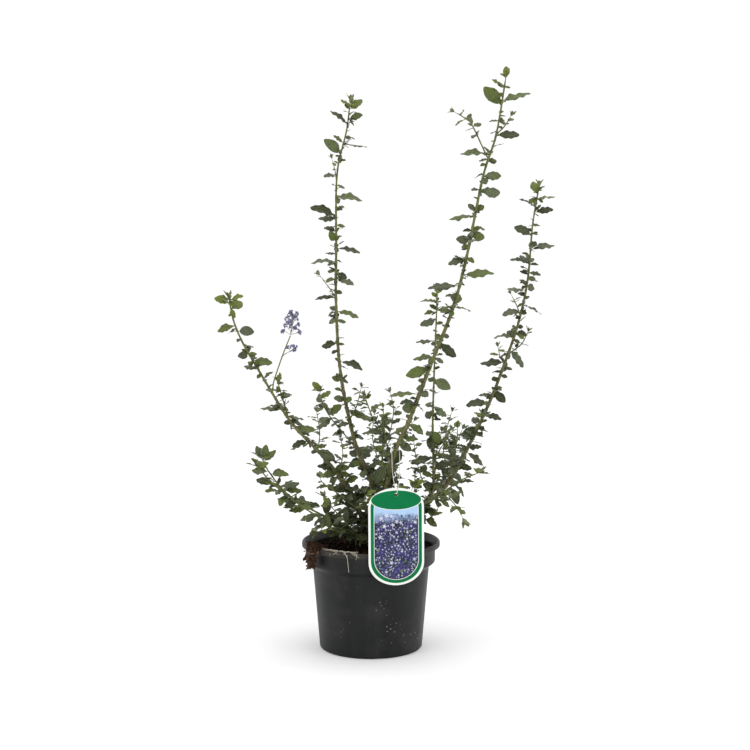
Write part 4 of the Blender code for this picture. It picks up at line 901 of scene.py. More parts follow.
# Midrib, a long nerve each side that nears the edge's middle, and side veins that slant forward:
# the greatest of the three.
def veinMask(tree, parts, flat):
    edge = addNode(tree, "Math", {0: parts[0]}, operation="ABSOLUTE")
    midrib = addNode(tree, "MapRange", {0: edge, 1: .03, 2: .10, 3: 1., 4: 0.})
    nerve = addNode(tree, "Math", {0: parts[1], 1: .22, 2: edge}, operation="MULTIPLY_ADD")
    nerve = addNode(tree, "Math", {0: nerve, 1: .52}, operation="SUBTRACT")
    nerve = addNode(tree, "Math", {0: nerve}, operation="ABSOLUTE")
    nerve = addNode(tree, "MapRange", {0: nerve, 1: .02, 2: .09, 3: .7, 4: 0.})
    away = addNode(tree, "Math", {0: flat[0]}, operation="ABSOLUTE")
    slant = addNode(tree, "Math", {0: away, 1: -.95, 2: flat[1]}, operation="MULTIPLY_ADD")
    slant = addNode(tree, "Math", {0: slant, 1: 2 * math.pi / veinGap}, operation="MULTIPLY")
    wave = addNode(tree, "Math", {0: slant}, operation="SINE")
    side = addNode(tree, "MapRange", {0: wave, 1: .72, 2: .98, 4: .6})
    long = addNode(tree, "Math", {0: midrib, 1: nerve}, operation="MAXIMUM")
    return addNode(tree, "Math", {0: long, 1: side}, operation="MAXIMUM")


# Living leaf with a thin wax skin: dark dull green, paler sunken veins, a soft shine in patches, and
# painted shade that keeps leaves deep in the crown darker. The pits between the veins are finer in life and
# are drawn this coarse so that they show.
def leafTopFinish():
    look, tree, place = newMaterial("waxy_leaf_upper_side")
    parts, tone, flat = leafInputs(tree)
    veins = veinMask(tree, parts, flat)
    edge = addNode(tree, "Math", {0: parts[0]}, operation="ABSOLUTE")
    wide = addNode(tree, "TexNoise", {"Vector": place, "Scale": scaleFor(33.), "Detail": 2.}, "Fac")
    fine = addNode(tree, "TexNoise", {"Vector": place, "Scale": scaleFor(2.4), "Detail": 4.}, "Fac")
    pits = addNode(tree, "TexNoise", {"Vector": place, "Scale": scaleFor(.67), "Detail": 2.}, "Fac")
    patch = addNode(tree, "MapRange", {0: wide, 1: .35, 2: .65, 4: .5})
    # painted shade: the middle green patches thin out on leaves of low tone, the inner and low ones
    outer = addNode(tree, "MapRange", {0: tone, 1: 0., 2: .30, 3: .25, 4: 1.})
    lit = addNode(tree, "Math", {0: patch, 1: outer}, operation="MULTIPLY")
    # a few outer leaves are brown along their rims
    rim = addNode(tree, "MapRange", {0: edge, 1: .86, 2: 1.})
    old = addNode(tree, "MapRange", {0: tone, 1: .80, 2: .92, 4: .8})
    spots = addNode(tree, "MapRange", {0: wide, 1: .4, 2: .6})
    brown = addNode(tree, "Math", {0: rim, 1: old}, operation="MULTIPLY")
    brown = addNode(tree, "Math", {0: brown, 1: spots}, operation="MULTIPLY")
    c = shrubColours
    # painted shade: the pale and fresh coats follow tone, which is lower for inner and low leaves
    colour = layCoats(tree, linear(c["dark"]), [
        (tone, .05, .55, 1., c["pale"]), (tone, .46, .62, .9, c["fresh"]), (lit, 0., 1., 1., c["middle"]),
        (fine, .45, .75, .6, c["deep"]), (parts[2], .25, .9, .85, c["young"]), (veins, 0., 1., .5, c["vein"]),
        (rim, 0., 1., .55, c["deep"]), (brown, 0., 1., 1., c["scorch"])])
    rough = addNode(tree, "MapRange", {0: fine, 1: .3, 2: .7, 3: .38, 4: .60})
    height = addNode(tree, "Math", {0: pits, 1: .35}, operation="MULTIPLY")
    height = addNode(tree, "Math", {0: height, 1: veins}, operation="SUBTRACT")
    return setShader(look, rough, .22, colour, (height, .65, .00025))


# The felted underside: pale grey green, matt, its veins standing out. Its hairs are too fine to show
# and are drawn as tufts.
def leafUnderFinish():
    look, tree, place = newMaterial("felted_leaf_underside")
    parts, tone, flat = leafInputs(tree)
    veins = veinMask(tree, parts, flat)
    felt = addNode(tree, "TexNoise", {"Vector": place, "Scale": scaleFor(1.1), "Detail": 3.}, "Fac")
    c = shrubColours
    # painted shade: the underside follows the leaf's tone too, so inner and low leaves are darker below
    colour = layCoats(tree, linear(c["underDeep"]), [
        (tone, 0., 1., 1., c["under"]), (parts[2], .2, 1., .6, c["underYoung"]),
        (felt, .4, .7, .4, c["felt"]), (veins, 0., 1., .6, c["nerve"])])
    height = addNode(tree, "Math", {0: felt, 1: .3, 2: veins}, operation="MULTIPLY_ADD")
    return setShader(look, .82, .12, colour, (height, .6, .0002))


# Thin young bark: green and smooth at the tips, brown with fine furrows and pale dots low down.
def barkFinish():
    look, tree, place = newMaterial("young_shrub_bark")
    age = addNode(tree, "Attribute", out="Fac", attribute_name="tone")
    drawn = addNode(tree, "Mapping", {"Vector": place, "Scale": (1., 1., .16)})      # furrows run upwards
    furrows = addNode(tree, "TexNoise", {"Vector": drawn, "Scale": scaleFor(.9), "Detail": 4.}, "Fac")
    wide = addNode(tree, "TexNoise", {"Vector": place, "Scale": scaleFor(12.), "Detail": 3.}, "Fac")
    dots = addNode(tree, "TexVoronoi", {"Vector": place, "Scale": scaleFor(2.4)}, "Distance")
    c = shrubColours
    green = layCoats(tree, linear(c["greenBark"]), [(wide, .35, .65, 1., c["greenBarkPale"])])
    brown = layCoats(tree, linear(c["brownBark"]), [(furrows, .35, .65, 1., c["brownBarkPale"])])
    colour = layCoats(tree, green, [
        (age, .30, .9, 1., brown), (wide, .50, .64, .6, c["barkPatch"]), (dots, .18, .10, .6, c["barkDot"])])
    warts = addNode(tree, "MapRange", {0: dots, 1: .10, 2: .20, 3: -.5, 4: 0.})
    height = addNode(tree, "Math", {0: furrows, 1: warts}, operation="SUBTRACT")
    return setShader(look, .72, .3, colour, (height, .7, .0003))


# Flowers: hooded petals on thin claws, small blue sepals, stamens that stand out.
flowerShape = {
    # route in mm, reach of the longest threads, florets, seed
    "head": {"route": [(-95.05, -46, 387.55), (-93.5, -46, 400), (-92, -46, 412.5)],
             "wide": .0092, "count": 75, "seed": 4},
    "side": {"route": [(-97.8, -43.6, 366.55), (-94.5, -43.6, 368.5), (-91.5, -43.6, 371)],
             "wide": .0058, "count": 15, "seed": 6},
    "perClump": 5,
    "clumpReach": ([0, .16, .4, .85, 1], [.95, .92, .62, .50, .15]),      # wide low down, narrow on top
    "petalLong": (.0022, .0028),
    "petalWide": .78,
    "cup": .26,
    "half": .00006,
    "petals": 5,
    "lilac": ("#77769b", "#8f8db0", "#5a5786"),
    "blue": ("#656392", "#7674a0", "#4f4c7e"),
    "bloom": "#a5a3c4",
    "thread": ("#5f6350", "#6f6f78"),
    "anther": ("#a9a77d", "#c6c39a"),
}


# Spoons: half width = claw + bowl, the bowl sin(pi t)^.6 past the claw; height = cup |w|^2; the
# centre line bends by bend L u^2.
def petalSurface(petals, rows, look):
    base = np.array([p["base"] for p in petals])[:, None, None]
    d, side, n = (np.array([p["frame"][i] for p in petals])[:, None, None] for i in range(3))
    length, bend = (np.array([p[key] for p in petals])[:, None, None] for key in ("length", "bend"))
    wide = length * flowerShape["petalWide"]
    u = np.linspace(0, 1, rows)[None, :, None]
    v, above = np.array([-1, 0, 1, 0])[None, None], np.array([0, 1, 0, -1])[None, None]
    bowl = np.sin(np.pi * np.clip((u - .25) / .75, 0, 1)) ** .6
    across = wide / 2 * (.14 * (1 - u) + bowl) * v
    lift = above * flowerShape["half"] + flowerShape["cup"] * wide * bowl * v ** 2 + bend * length * u * u
    forward = length * u * (1 - .25 * np.abs(bend) * u)
    points = base + d * forward[..., None] + side * across[..., None] + n * lift[..., None]
    maps = ringsThenEnds(np.stack(np.broadcast_arrays(v, u, 0. * length), -1), 1)
    points = ringsThenEnds(points, 1)
    tone = np.repeat(np.array([p["tone"] for p in petals]), points.shape[1])
    return surface(points, formFaces(len(petals), rows - 2, 4, (look,)), maps, None, tone)


# Clumps of florets spiral round the stalk by the golden turn, lower ones on longer threads.
def addFlower(name, node, shape, looks):
    rng = np.random.RandomState(shape["seed"])
    path = smoothPath(np.array(shape["route"]) / 1000, 6)
    run = runOf(path)
    surfaces = [tubeSurface(path, .0005, 6)]
    petals, sepals, stamens = [], [], []
    clumps = shape["count"] // flowerShape["perClump"]
    for i in range(shape["count"]):
        clump = i // flowerShape["perClump"]
        share = (clump + .5) / clumps
        reach = np.interp(share, *flowerShape["clumpReach"]) * shape["wide"]
        phi = clump * goldenTurn + .4
        heading = unit(np.array([math.cos(phi), math.sin(phi), .15 + share]))
        middle = readAt(run[-1] * share, run, path) + heading * reach
        axis = unit(heading + rng.normal(size=3) * .75)
        foot = readAt(run[-1] * max(share - .16, 0.), run, path)
        centre = middle + axis * rng.uniform(.0014, .0034)
        thread = smoothPath([foot, foot + (middle - foot) * .8, centre], 3)
        surfaces.append(tubeSurface(thread, np.linspace(.00020, .00026, 7), 4))
        pair = crossPair(axis, (.2, .9, .4))
        start, tone = rng.uniform(0, 6), rng.rand()
        spread = rng.uniform(.55, 1.)
        for q in range(flowerShape["petals"]):
            for group, turn, stretch, slant in ((petals, 0., 1., .25), (sepals, math.pi / 5, .74, .45)):
                angle = start + turn + 2 * math.pi * q / 5 + rng.uniform(-.1, .1)
                way = unit(outward(pair, angle) * spread + axis * (slant + .5 * (1 - spread)))
                side = unit(np.cross(axis, way))
                group.append({"base": centre, "frame": (way, side, np.cross(way, side)), "tone": tone,
                              "length": rng.uniform(*flowerShape["petalLong"]) * stretch,
                              "bend": rng.uniform(.1, .4)})
            out = outward(pair, start + 2 * math.pi * (q + .25) / 5)
            end = centre + axis * rng.uniform(.0009, .0014) + out * .0005
            stamen = np.array([centre, (centre + end) / 2 + out * .0002, end])
            stamens.append(tubeSurface(stamen, [.00009, .00008, .00022], 4, 3, tone))
    surfaces += [petalSurface(petals, 7, 1), petalSurface(sepals, 6, 2)] + stamens
    makePiece(name, surfaces, looks, node, 60)


# Thin cell-filled petals: matt, a little see-through, greyer at the rim and deeper at the claw. Real
# cells are about .04 mm and are drawn ten times as large so that they show.
def petalFinish(name, pale, deep, heart):
    look, tree, place = newMaterial(name)
    parts, tone, _ = leafInputs(tree)
    cells = addNode(tree, "TexNoise", {"Vector": place, "Scale": scaleFor(.45), "Detail": 2.}, "Fac")
    colour = layCoats(tree, linear(pale), [
        (tone, 0., 1., 1., deep), (parts[1], .55, 0., .8, heart), (cells, .4, .7, .25, flowerShape["bloom"])])
    depth = {"Subsurface Weight": .15, "Subsurface Radius": (.0006, .0006, .0009)}
    return setShader(look, .68, .3, colour, (cells, .3, .0001), **depth)


# Smooth green stalks, pollen-dusted anthers, pale roots: a soft even colour with a fine grain, which
# is drawn coarser than it is so that it shows.
def stalkFinish(name, first, second, roughness):
    look, tree, place = newMaterial(name)
    grain = addNode(tree, "TexNoise", {"Vector": place, "Scale": scaleFor(1.1), "Detail": 3.}, "Fac")
    colour = layCoats(tree, linear(first), [(grain, .35, .65, 1., second)])
    return setShader(look, roughness, .3, colour, (grain, .3, .0001))


# Nursery pot: the outline in mm as (distance from the axis, height), corners rounded.
potShape = {
    "sides": 120,
    "outer": [(53, 2.5), (54.5, 0), (62.3, 0), (63.2, 1.2), (71.7, 101), (79, 107), (79.2, 124.8),
              (85, 125.6), (85, 130.6), (83.8, 132), (82.2, 132), (81.5, 130.6), (77.8, 123.8),
              (77.6, 107.6), (70.3, 102), (61.7, 4.2), (53, 4.2)],
    "foot": [(29.5, 2.5), (28, 0), (0, 0)],
    "floor": [(29.5, 4.2), (0, 4.2)],
    "floorRing": (.0295, .053),
    "floorHeights": (.0025, .0042),      # under side and upper side
    "holeCount": 6,
    "holeAt": .041,
    "holeRadius": .005,
    "cornerRadius": 1.1,
    "longest": 6.,
    "base": "#0f1011", "streak": "#1a1b1c", "scuff": "#3a3937", "speck": "#8f8d88", "water": "#5c5b58",
    "upperGrey": "#4b4740",
}


# Each inner corner becomes a quadratic arc between two points up to radius away from it.
def roundCorners(points, radius, steps=5):
    p = np.array(points, float)
    rows = [p[0]]
    for before, corner, after in zip(p, p[1:], p[2:]):
        back, on = before - corner, after - corner
        reach = min(radius, np.linalg.norm(back) * .45, np.linalg.norm(on) * .45)
        first, last = corner + unit(back) * reach, corner + unit(on) * reach
        t = np.linspace(0, 1, steps)[:, None]
        rows += list((1 - t) ** 2 * first + 2 * t * (1 - t) * corner + t ** 2 * last)
    return np.array(rows + [p[-1]])


# Extra points on long straight runs, so that a surface has even faces.
def splitLong(points, longest):
    rows = [points[0]]
    for a, b in zip(points, points[1:]):
        count = max(1, int(math.ceil(np.linalg.norm(b - a) / longest)))
        rows += [a + (b - a) * k / count for k in range(1, count + 1)]
    return np.array(rows)


# A profile turned round the axis; where it ends on the axis, a fan closes it there.
def turned(profile, sides):
    r, z = np.array(profile, float).T / 1000
    if r[-1] > 0:
        return surface(turnedPoints(r, z, sides), [(ringFaces(len(r), sides), 0)])
    n = (len(r) - 1) * sides
    points = np.vstack([turnedPoints(r[:-1], z[:-1], sides).reshape(-1, 3), [(0., 0., z[-1])]])
    return surface(points, [(ringFaces(len(r) - 1, sides), 0), (fanFaces(n - sides, sides, n), 0)])


# A flat ring with round holes: in each sector a grid runs from the hole's circle to the sector's
# edge as circle + (edge - circle) t. The lower one has the holes' walls.
def holedFloor(z):
    inner, outer = potShape["floorRing"]
    sides, count = potShape["sides"], potShape["holeCount"]
    surfaces = []
    for k in range(count):
        start = 2 * np.pi * k / count
        q = start + 2 * np.pi * np.arange(sides // count + 1) / sides
        near, far = (np.stack([r * np.cos(a), r * np.sin(a)], 1) for r, a in ((inner, q), (outer, q[::-1])))
        rungs = np.linspace(0, 1, 7)[1:-1, None]
        border = np.vstack([near, near[-1] + (far[0] - near[-1]) * rungs,
                            far, far[-1] + (near[0] - far[-1]) * rungs])
        middle = start + np.pi / count
        centre = potShape["holeAt"] * np.array([np.cos(middle), np.sin(middle)])
        circle = centre + unitRows(border - centre) * potShape["holeRadius"]
        grid = circle + (border - circle) * np.linspace(0, 1, 4)[:, None, None]
        points = np.concatenate([grid, np.full(grid.shape[:2] + (1,), z)], -1)
        surfaces.append(surface(points, [(ringFaces(4, len(border)), 0)]))
        if z == min(potShape["floorHeights"]):
            wall = np.stack([np.column_stack([circle, np.full(len(circle), h)])
                             for h in potShape["floorHeights"]])
            surfaces.append(surface(wall, [(ringFaces(2, len(border)), 0)]))
    return surfaces


def addPot():
    outline = splitLong(roundCorners(potShape["outer"], potShape["cornerRadius"]), potShape["longest"])
    surfaces = [turned(outline, potShape["sides"]), turned(potShape["foot"], potShape["sides"]),
                turned(potShape["floor"], potShape["sides"])]
    for z in potShape["floorHeights"]:
        surfaces += holedFloor(z)
    makePiece("nursery_pot", surfaces, [potFinish()], "pot", 38, 2e-6)


# Recycled polypropylene, moulded: near black with grey flow streaks, scuffs and dried water, and greyer in
# clouds towards the rim. The mould's own grain is finer in life and is drawn this coarse so that it shows.
def potFinish():
    look, tree, place = newMaterial("moulded_polypropylene")
    tall = addNode(tree, "Mapping", {"Vector": place, "Scale": (1., 1., .10)})
    level = addNode(tree, "Mapping", {"Vector": place, "Scale": (.15, .15, 1.)})
    runs = addNode(tree, "Mapping", {"Vector": place, "Scale": (1., 1., .45)})
    streaks = addNode(tree, "TexNoise", {"Vector": tall, "Scale": scaleFor(18.), "Detail": 3.}, "Fac")
    lines = addNode(tree, "TexNoise", {"Vector": level, "Scale": scaleFor(1.1), "Detail": 2.}, "Fac")
    cloud = addNode(tree, "TexNoise", {"Vector": place, "Scale": scaleFor(36.), "Detail": 5.,
                                       "Roughness": .6}, "Fac")
    grain = addNode(tree, "TexNoise", {"Vector": place, "Scale": scaleFor(.7), "Detail": 2.}, "Fac")
    blotch = addNode(tree, "TexNoise", {"Vector": place, "Scale": scaleFor(45.)}, "Fac")
    dots = addNode(tree, "TexVoronoi", {"Vector": place, "Scale": scaleFor(5.3)}, "Distance")
    drops = addNode(tree, "TexVoronoi", {"Vector": runs, "Scale": scaleFor(13.)}, "Distance")
    # specks are dots below a size that comes and goes; water marks lie in the clouds, as does a lighter grey
    # over the collar and rim
    size = addNode(tree, "MapRange", {0: blotch, 1: .46, 2: .70, 4: .20})
    speck = addNode(tree, "Math", {0: dots, 1: size}, operation="LESS_THAN")
    drop = addNode(tree, "MapRange", {0: drops, 1: .055, 2: .10, 3: 1., 4: 0.})
    wet = addNode(tree, "MapRange", {0: cloud, 1: .46, 2: .60})
    water = addNode(tree, "Math", {0: drop, 1: wet}, operation="MULTIPLY")
    # greyer in clouds towards the top: the upper collar and the rim are lighter than the body
    upper = addNode(tree, "MapRange", {0: addNode(tree, "SeparateXYZ", {0: place}, 2), 1: .118, 2: .1325})
    upperCloud = addNode(tree, "MapRange", {0: cloud, 1: .40, 2: .66, 3: .1, 4: .65})
    upperGrey = addNode(tree, "Math", {0: upper, 1: upperCloud}, operation="MULTIPLY")
    colour = layCoats(tree, linear(potShape["base"]), [
        (streaks, .35, .68, 1., potShape["streak"]), (cloud, .50, .75, .4, potShape["scuff"]),
        (speck, 0., 1., .5, potShape["speck"]), (water, 0., 1., .35, potShape["water"]),
        (upperGrey, 0., 1., 1., potShape["upperGrey"])])
    rough = addNode(tree, "MapRange", {0: streaks, 1: .3, 2: .7, 3: .40, 4: .54})
    height = addNode(tree, "Math", {0: lines, 1: grain}, operation="ADD")
    height = addNode(tree, "Math", {0: height, 1: .5}, operation="MULTIPLY")
    return setShader(look, rough, .22, colour, (height, .25, .0002))


# Growing mix: a lumpy top over the pot's filling, with crumbs, bark chips and fibres.
soilMix = {
    "side": [(0, 4.5), (61.4, 4.5), (69.9, 101.8), (77.2, 107.8), (77.35, 120.4)],
    "longest": 8.,
    "edge": .0772,
    "level": .1205,
    "rings": 44,
    "sides": 140,
    "seed": 11,
    # crumbs and chips: count, farthest from the axis, radius, share and height above the top, squash
    "loose": [(1100, .0752, (.0007, .0021), .35, 0., (1., 1., 1.)),
              (190, .0715, (.0011, .0031), .25, .0006, (1.25, .75, .34))],
    "fibres": 90,
    "fibreReach": .069,
    "fibreLong": (.006, .018),
    "fibreRadius": .00022,
    "looks": {"damp_peat_mix": ("#080604", "#130e0a", "#211912"),
              "composted_bark": ("#120c07", "#2a1c12", "#46311f"),
              "coir_fibre": ("#281c12", "#46321f", "#6a5038")},
}


# Nearly level, a little higher at the crown, with soft lumps that end at the pot's wall.
def soilHeight(x, y):
    r = np.hypot(x, y)
    mound = soilMix["level"] + .0058 * (1 - (r / .0775) ** 2)
    lumps = .0007 * np.sin(x * 190 + 1.3) * np.cos(y * 230) + .0005 * np.sin(x * 410 - y * 370)
    fade = np.clip((soilMix["edge"] - r) / .008, 0, 1) * np.clip((r - .030) / .012, 0, 1)
    return mound + lumps * fade * 1.6


# Random plane waves, finer ones lower: the sum of a_i sin(k_i . p + phase) over their count's root.
def bumpy(x, y, rng, waves=26, low=120., high=900.):
    total = np.zeros_like(x)
    for _ in range(waves):
        k = math.exp(rng.uniform(math.log(low), math.log(high)))
        angle, phase = rng.uniform(0, 2 * math.pi, 2)
        total += np.sin(k * (x * math.cos(angle) + y * math.sin(angle)) + phase) * (low / k)
    return total / math.sqrt(waves)


# Rough pebbles: balls whose radius is 1 + noise, squashed and turned at random, each its own tone.
def grains(centres, sizes, rng, look, squash=(1., 1., 1.), rows=4, sides=6):
    k = len(centres)
    theta = np.pi * (np.arange(rows) + 1) / (rows + 1)
    ball = turnedPoints(np.sin(theta), np.cos(theta), sides).reshape(-1, 3)
    ball = np.vstack([ball, [(0, 0, 1), (0, 0, -1)]])
    shapes = ball[None] * (1 + rng.uniform(-.28, .28, (k, len(ball), 1)))
    shapes = shapes * np.array(squash) * rng.uniform(.7, 1.3, (k, 1, 3)) * sizes[:, None, None]
    turns = np.linalg.qr(rng.normal(size=(k, 3, 3)))[0]
    turns[np.linalg.det(turns) < 0] *= -1
    points = np.einsum("kij,knj->kni", turns, shapes) + centres[:, None]
    return surface(points, formFaces(k, rows, sides, (look,)), tone=np.repeat(rng.rand(k), len(ball)))


def addSoil():
    rng = np.random.RandomState(soilMix["seed"])
    sides = soilMix["sides"]
    side = splitLong(np.array(soilMix["side"], float), soilMix["longest"])[1:] / 1000
    wall = turnedPoints(side[:, 0], side[:, 1], sides)
    radii = np.linspace(soilMix["edge"], 0, soilMix["rings"])[:-1]
    top = turnedPoints(radii, 0 * radii, sides)
    x, y = top[..., 0], top[..., 1]
    fade = np.clip((soilMix["edge"] - np.hypot(x, y)) / .004, 0, 1)
    top[..., 2] = soilHeight(x, y) + .0011 * bumpy(x, y, rng) * fade
    rows = len(wall) + len(top)
    points = np.vstack([wall.reshape(-1, 3), top.reshape(-1, 3), [(0, 0, soilHeight(0., 0.)), (0, 0, .0045)]])
    sets = [(ringFaces(rows, sides), 0), (fanFaces((rows - 1) * sides, sides, rows * sides), 0),
            (fanFaces(0, sides, rows * sides + 1, False), 0)]
    surfaces = [surface(points, sets, tone=.3)]
    for look, (count, most, size, share, raised, squash) in enumerate(soilMix["loose"]):
        r, a = most * np.sqrt(rng.rand(count)), rng.uniform(0, 2 * np.pi, count)
        x, y = r * np.cos(a), r * np.sin(a)
        sizes = rng.uniform(*size, count)
        centres = np.stack([x, y, soilHeight(x, y) + sizes * share + raised], 1)
        surfaces.append(grains(centres, sizes, rng, look, squash))
    # a fibre is an arch, bent a little sideways and kept inside the wall
    t = np.linspace(-.5, .5, 5)
    for _ in range(soilMix["fibres"]):
        r = soilMix["fibreReach"] * math.sqrt(rng.rand())
        a, turn = rng.uniform(0, 2 * np.pi), rng.uniform(0, 2 * np.pi)
        length, bend = rng.uniform(*soilMix["fibreLong"]), rng.uniform(-.25, .25)
        x = r * math.cos(a) + length * (t * math.cos(turn) - bend * t * t * math.sin(turn))
        y = r * math.sin(a) + length * (t * math.sin(turn) + bend * t * t * math.cos(turn))
        inside = np.minimum(1., .0755 / np.maximum(np.hypot(x, y), 1e-6))
        x, y = x * inside, y * inside
        path = np.stack([x, y, soilHeight(x, y) + .0007 + .0012 * rng.rand() * (1 - 4 * t * t)], 1)
        surfaces.append(tubeSurface(path, soilMix["fibreRadius"], 4, 2, rng.rand()))
    looks = [earthFinish(name, *colours) for name, colours in soilMix["looks"].items()]
    makePiece("potting_mix", surfaces, looks, "soil", 60)


# Loose organic stuff: dark and dull when damp, each crumb its own brown.
def earthFinish(name, deep, middle, light):
    look, tree, place = newMaterial(name)
    tone = addNode(tree, "Attribute", out="Fac", attribute_name="tone")
    coarse = addNode(tree, "TexNoise", {"Vector": place, "Scale": scaleFor(3.8), "Detail": 5.}, "Fac")
    fine = addNode(tree, "TexNoise", {"Vector": place, "Scale": scaleFor(.77), "Detail": 3.}, "Fac")
    worn = addNode(tree, "MapRange", {0: fine, 1: .35, 2: .7})
    worn = addNode(tree, "Math", {0: tone, 1: worn}, operation="MULTIPLY")
    colour = layCoats(tree, linear(deep), [(coarse, .35, .65, 1., middle), (worn, 0., 1., 1., light)])
    height = addNode(tree, "Math", {0: coarse, 1: fine}, operation="ADD")
    return setShader(look, .93, .08, colour, (height, .8, .0006))


# Root tuft over the front of the rim, with pale threads along it.
rootTuft = {
    # mm from the axis and up: from the mix over the rim and down outside
    "drape": [(62, 125.2), (70, 124.2), (75.8, 124.0), (78.6, 127.6), (80.8, 131.2), (82, 132.5),
              (84.2, 132.6), (85.6, 131.2), (85.75, 126.5), (85.6, 120), (85, 113), (84.2, 107)],
    "middle": -144.,
    "seed": 8,
    "strands": 150,
    "strandFrom": (.04, .40),            # share of the drape where a strand starts, and how much it takes
    "strandLong": (.25, .75),
    "strandSpread": (.055, .045),        # in radians: where it starts, and how far it swings
    "strandCurl": (.004, .022),
    "strandArch": (.0004, .0042),
    "strandRadius": (.00013, .00034),
    "flakes": 420,
    "flakeFrom": (.10, .97),
    "flakeSpread": .085,
    "flakeLift": (.0010, .0052),
    "flakeSize": (.0010, .0030),
    "flakeSquash": (1.3, .6, .22),
    # share of the drape, degrees round the pot, lift in mm
    "threads": [[(.42, -144, 2.2), (.44, -136, 1.4), (.49, -128, 1.), (.46, -120, 1.2), (.45, -112, 1.)],
                [(.46, -116, 1.1), (.50, -112, 1.), (.55, -110, 1.), (.64, -108.5, 1.), (.95, -107.5, 1.)],
                [(.40, -140, 2.0), (.38, -130, 1.4), (.40, -121, 1.2), (.45, -113, 1.1), (.50, -110, 1.)]],
    "fineThreads": 22,
    "fineRound": (-142, -106),           # degrees round the pot, and share of the drape
    "fineFrom": (.36, .5),
    "fineRadius": (.00016, .00034),
    "fibre": ("#120a06", "#3b261a", "#80604d"),
    "crumb": ("#100a07", "#35241a", "#8f7463"),
    "thread": ("#8d8476", "#bdb5a6"),
}


# The point at a share of the drape and an angle round the pot, lifted square to the drape.
def drapePoint(share, angle, lift):
    path = np.array(rootTuft["drape"]) / 1000
    run = runOf(path)
    x = np.clip(share, 0., .985) * run[-1]
    r, z = readAt(x, run, path)
    r2, z2 = readAt(x + .002, run, path)
    along = unitRows(np.stack([r2 - r, z2 - z], -1) + 1e-9)
    r, z = r - along[..., 1] * lift, z + along[..., 0] * lift
    return np.stack([r * np.cos(angle), r * np.sin(angle), z], -1)


# A smooth line through (share, degrees, lift in mm) rows.
def drapePath(marks, steps):
    return smoothPath([drapePoint(share, math.radians(a), lift / 1000) for share, a, lift in marks], steps)


# Strands wander over the rim: angle and lift swing as sines with random phases.
def addRoots():
    tuft, rng = rootTuft, np.random.RandomState(rootTuft["seed"])
    middle = math.radians(tuft["middle"])
    surfaces = []
    t = np.linspace(0, 1, 16)
    for _ in range(tuft["strands"]):
        first = rng.uniform(*tuft["strandFrom"])
        last = min(first + rng.uniform(*tuft["strandLong"]), .98)
        start, swing = (rng.normal() * spread for spread in tuft["strandSpread"])
        curl, phase = rng.uniform(*tuft["strandCurl"]), rng.uniform(0, 6)
        angle = middle + start + swing * t + curl * np.sin(phase + t * rng.uniform(3, 11))
        lift = .0008 + abs(rng.normal()) * .0016 + .0005 * np.sin(phase * 2 + t * 17) \
            + rng.uniform(*tuft["strandArch"]) * np.sin(np.pi * t) ** .8
        path = drapePoint(first + (last - first) * t, angle, np.maximum(lift, .0005))
        radii = rng.uniform(*tuft["strandRadius"]) * (1 - .5 * t)
        surfaces.append(tubeSurface(path, radii, 4, 0, rng.rand()))
    count = tuft["flakes"]
    spread = rng.normal(size=count) * tuft["flakeSpread"]
    share = rng.uniform(*tuft["flakeFrom"], count)
    lift = rng.uniform(*tuft["flakeLift"], count) * (1 + .5 * (share > .6))
    centres = drapePoint(share, middle + spread * (1.15 - .8 * share), lift)
    sizes = rng.uniform(*tuft["flakeSize"], count)
    surfaces.append(grains(centres, sizes, rng, 1, tuft["flakeSquash"]))
    for marks in tuft["threads"]:
        path = drapePath(marks, 7)
        wave = np.linspace(0, 1, len(path))
        path[:, 2] += .0003 * np.sin(wave * 21)
        surfaces.append(tubeSurface(path, .00058 - .00025 * wave, 6, 2, .5))
    for _ in range(tuft["fineThreads"]):
        angle, first = rng.uniform(*tuft["fineRound"]), rng.uniform(*tuft["fineFrom"])
        marks = [(first + rng.uniform(-.03, .05) * k, angle + rng.uniform(1.5, 4.) * k, rng.uniform(.7, 1.6))
                 for k in range(5)]
        surfaces.append(tubeSurface(drapePath(marks, 5), rng.uniform(*tuft["fineRadius"]), 4, 2, rng.rand()))
    looks = [earthFinish("fibrous_roots", *tuft["fibre"]), earthFinish("dry_root_crumbs", *tuft["crumb"]),
             stalkFinish("pale_root_threads", *tuft["thread"], .7)]
    makePiece("root_tuft", surfaces, looks, "root_clump", 60)


# Hang label: a white card with a printed field that leans on the rim.
hangLabel = {
    "turn": math.radians(8),
    "tilt": math.radians(2.5),
    "rim": (.085, .132),         # the pot's rim: radius and height
    "clear": .0005,
    "wide": .066,
    "tall": .115,
    "thick": .0009,
    "bevel": .00018,
    "topArc": .0215,
    "footArc": .027,
    "middle": (.030, .1525),
    "hole": (.0497, .0022),      # height over the middle, radius
    "layer": .00004,             # print stands this proud of the card, so that it reads as its own face
    "sunk": .0001,               # and reaches this deep into it
    "border": .0026,
    "band": .0044,
    "line": .0006,
    "header": (.0432, .0112, .0007),      # height of its middle, half its height, its white rim
    "seed": 3,
    "blossoms": 330,
    "blossomSize": (.0010, .0022),        # least radius, and what the largest has more
    "apart": .80,                         # least gap between two, as a share of their radii
    "leafLong": 1.9,                      # a printed leaf is this many radii long
    "tries": 14000,
    "top": .0300,                # where the printed flowers end under the header
    "lowest": -.026,             # printed leaves are thicker below this
    "inks": {"white_polystyrene_card": ("#e4e8e2", "#f0f2ee"), "printed_green": ("#00693b", "#007443"),
             "printed_leaf_green": ("#3d5a3c", "#6f8660"), "printed_violet": ("#433a78", "#564c8a"),
             "printed_lilac": ("#6a6296", "#8a84b4"), "printed_pale_lilac": ("#b3afcf", "#dddbea")},
    "ground": ("#202c28", "#3a3862"),
    "sky": "#a9c6e6",
}


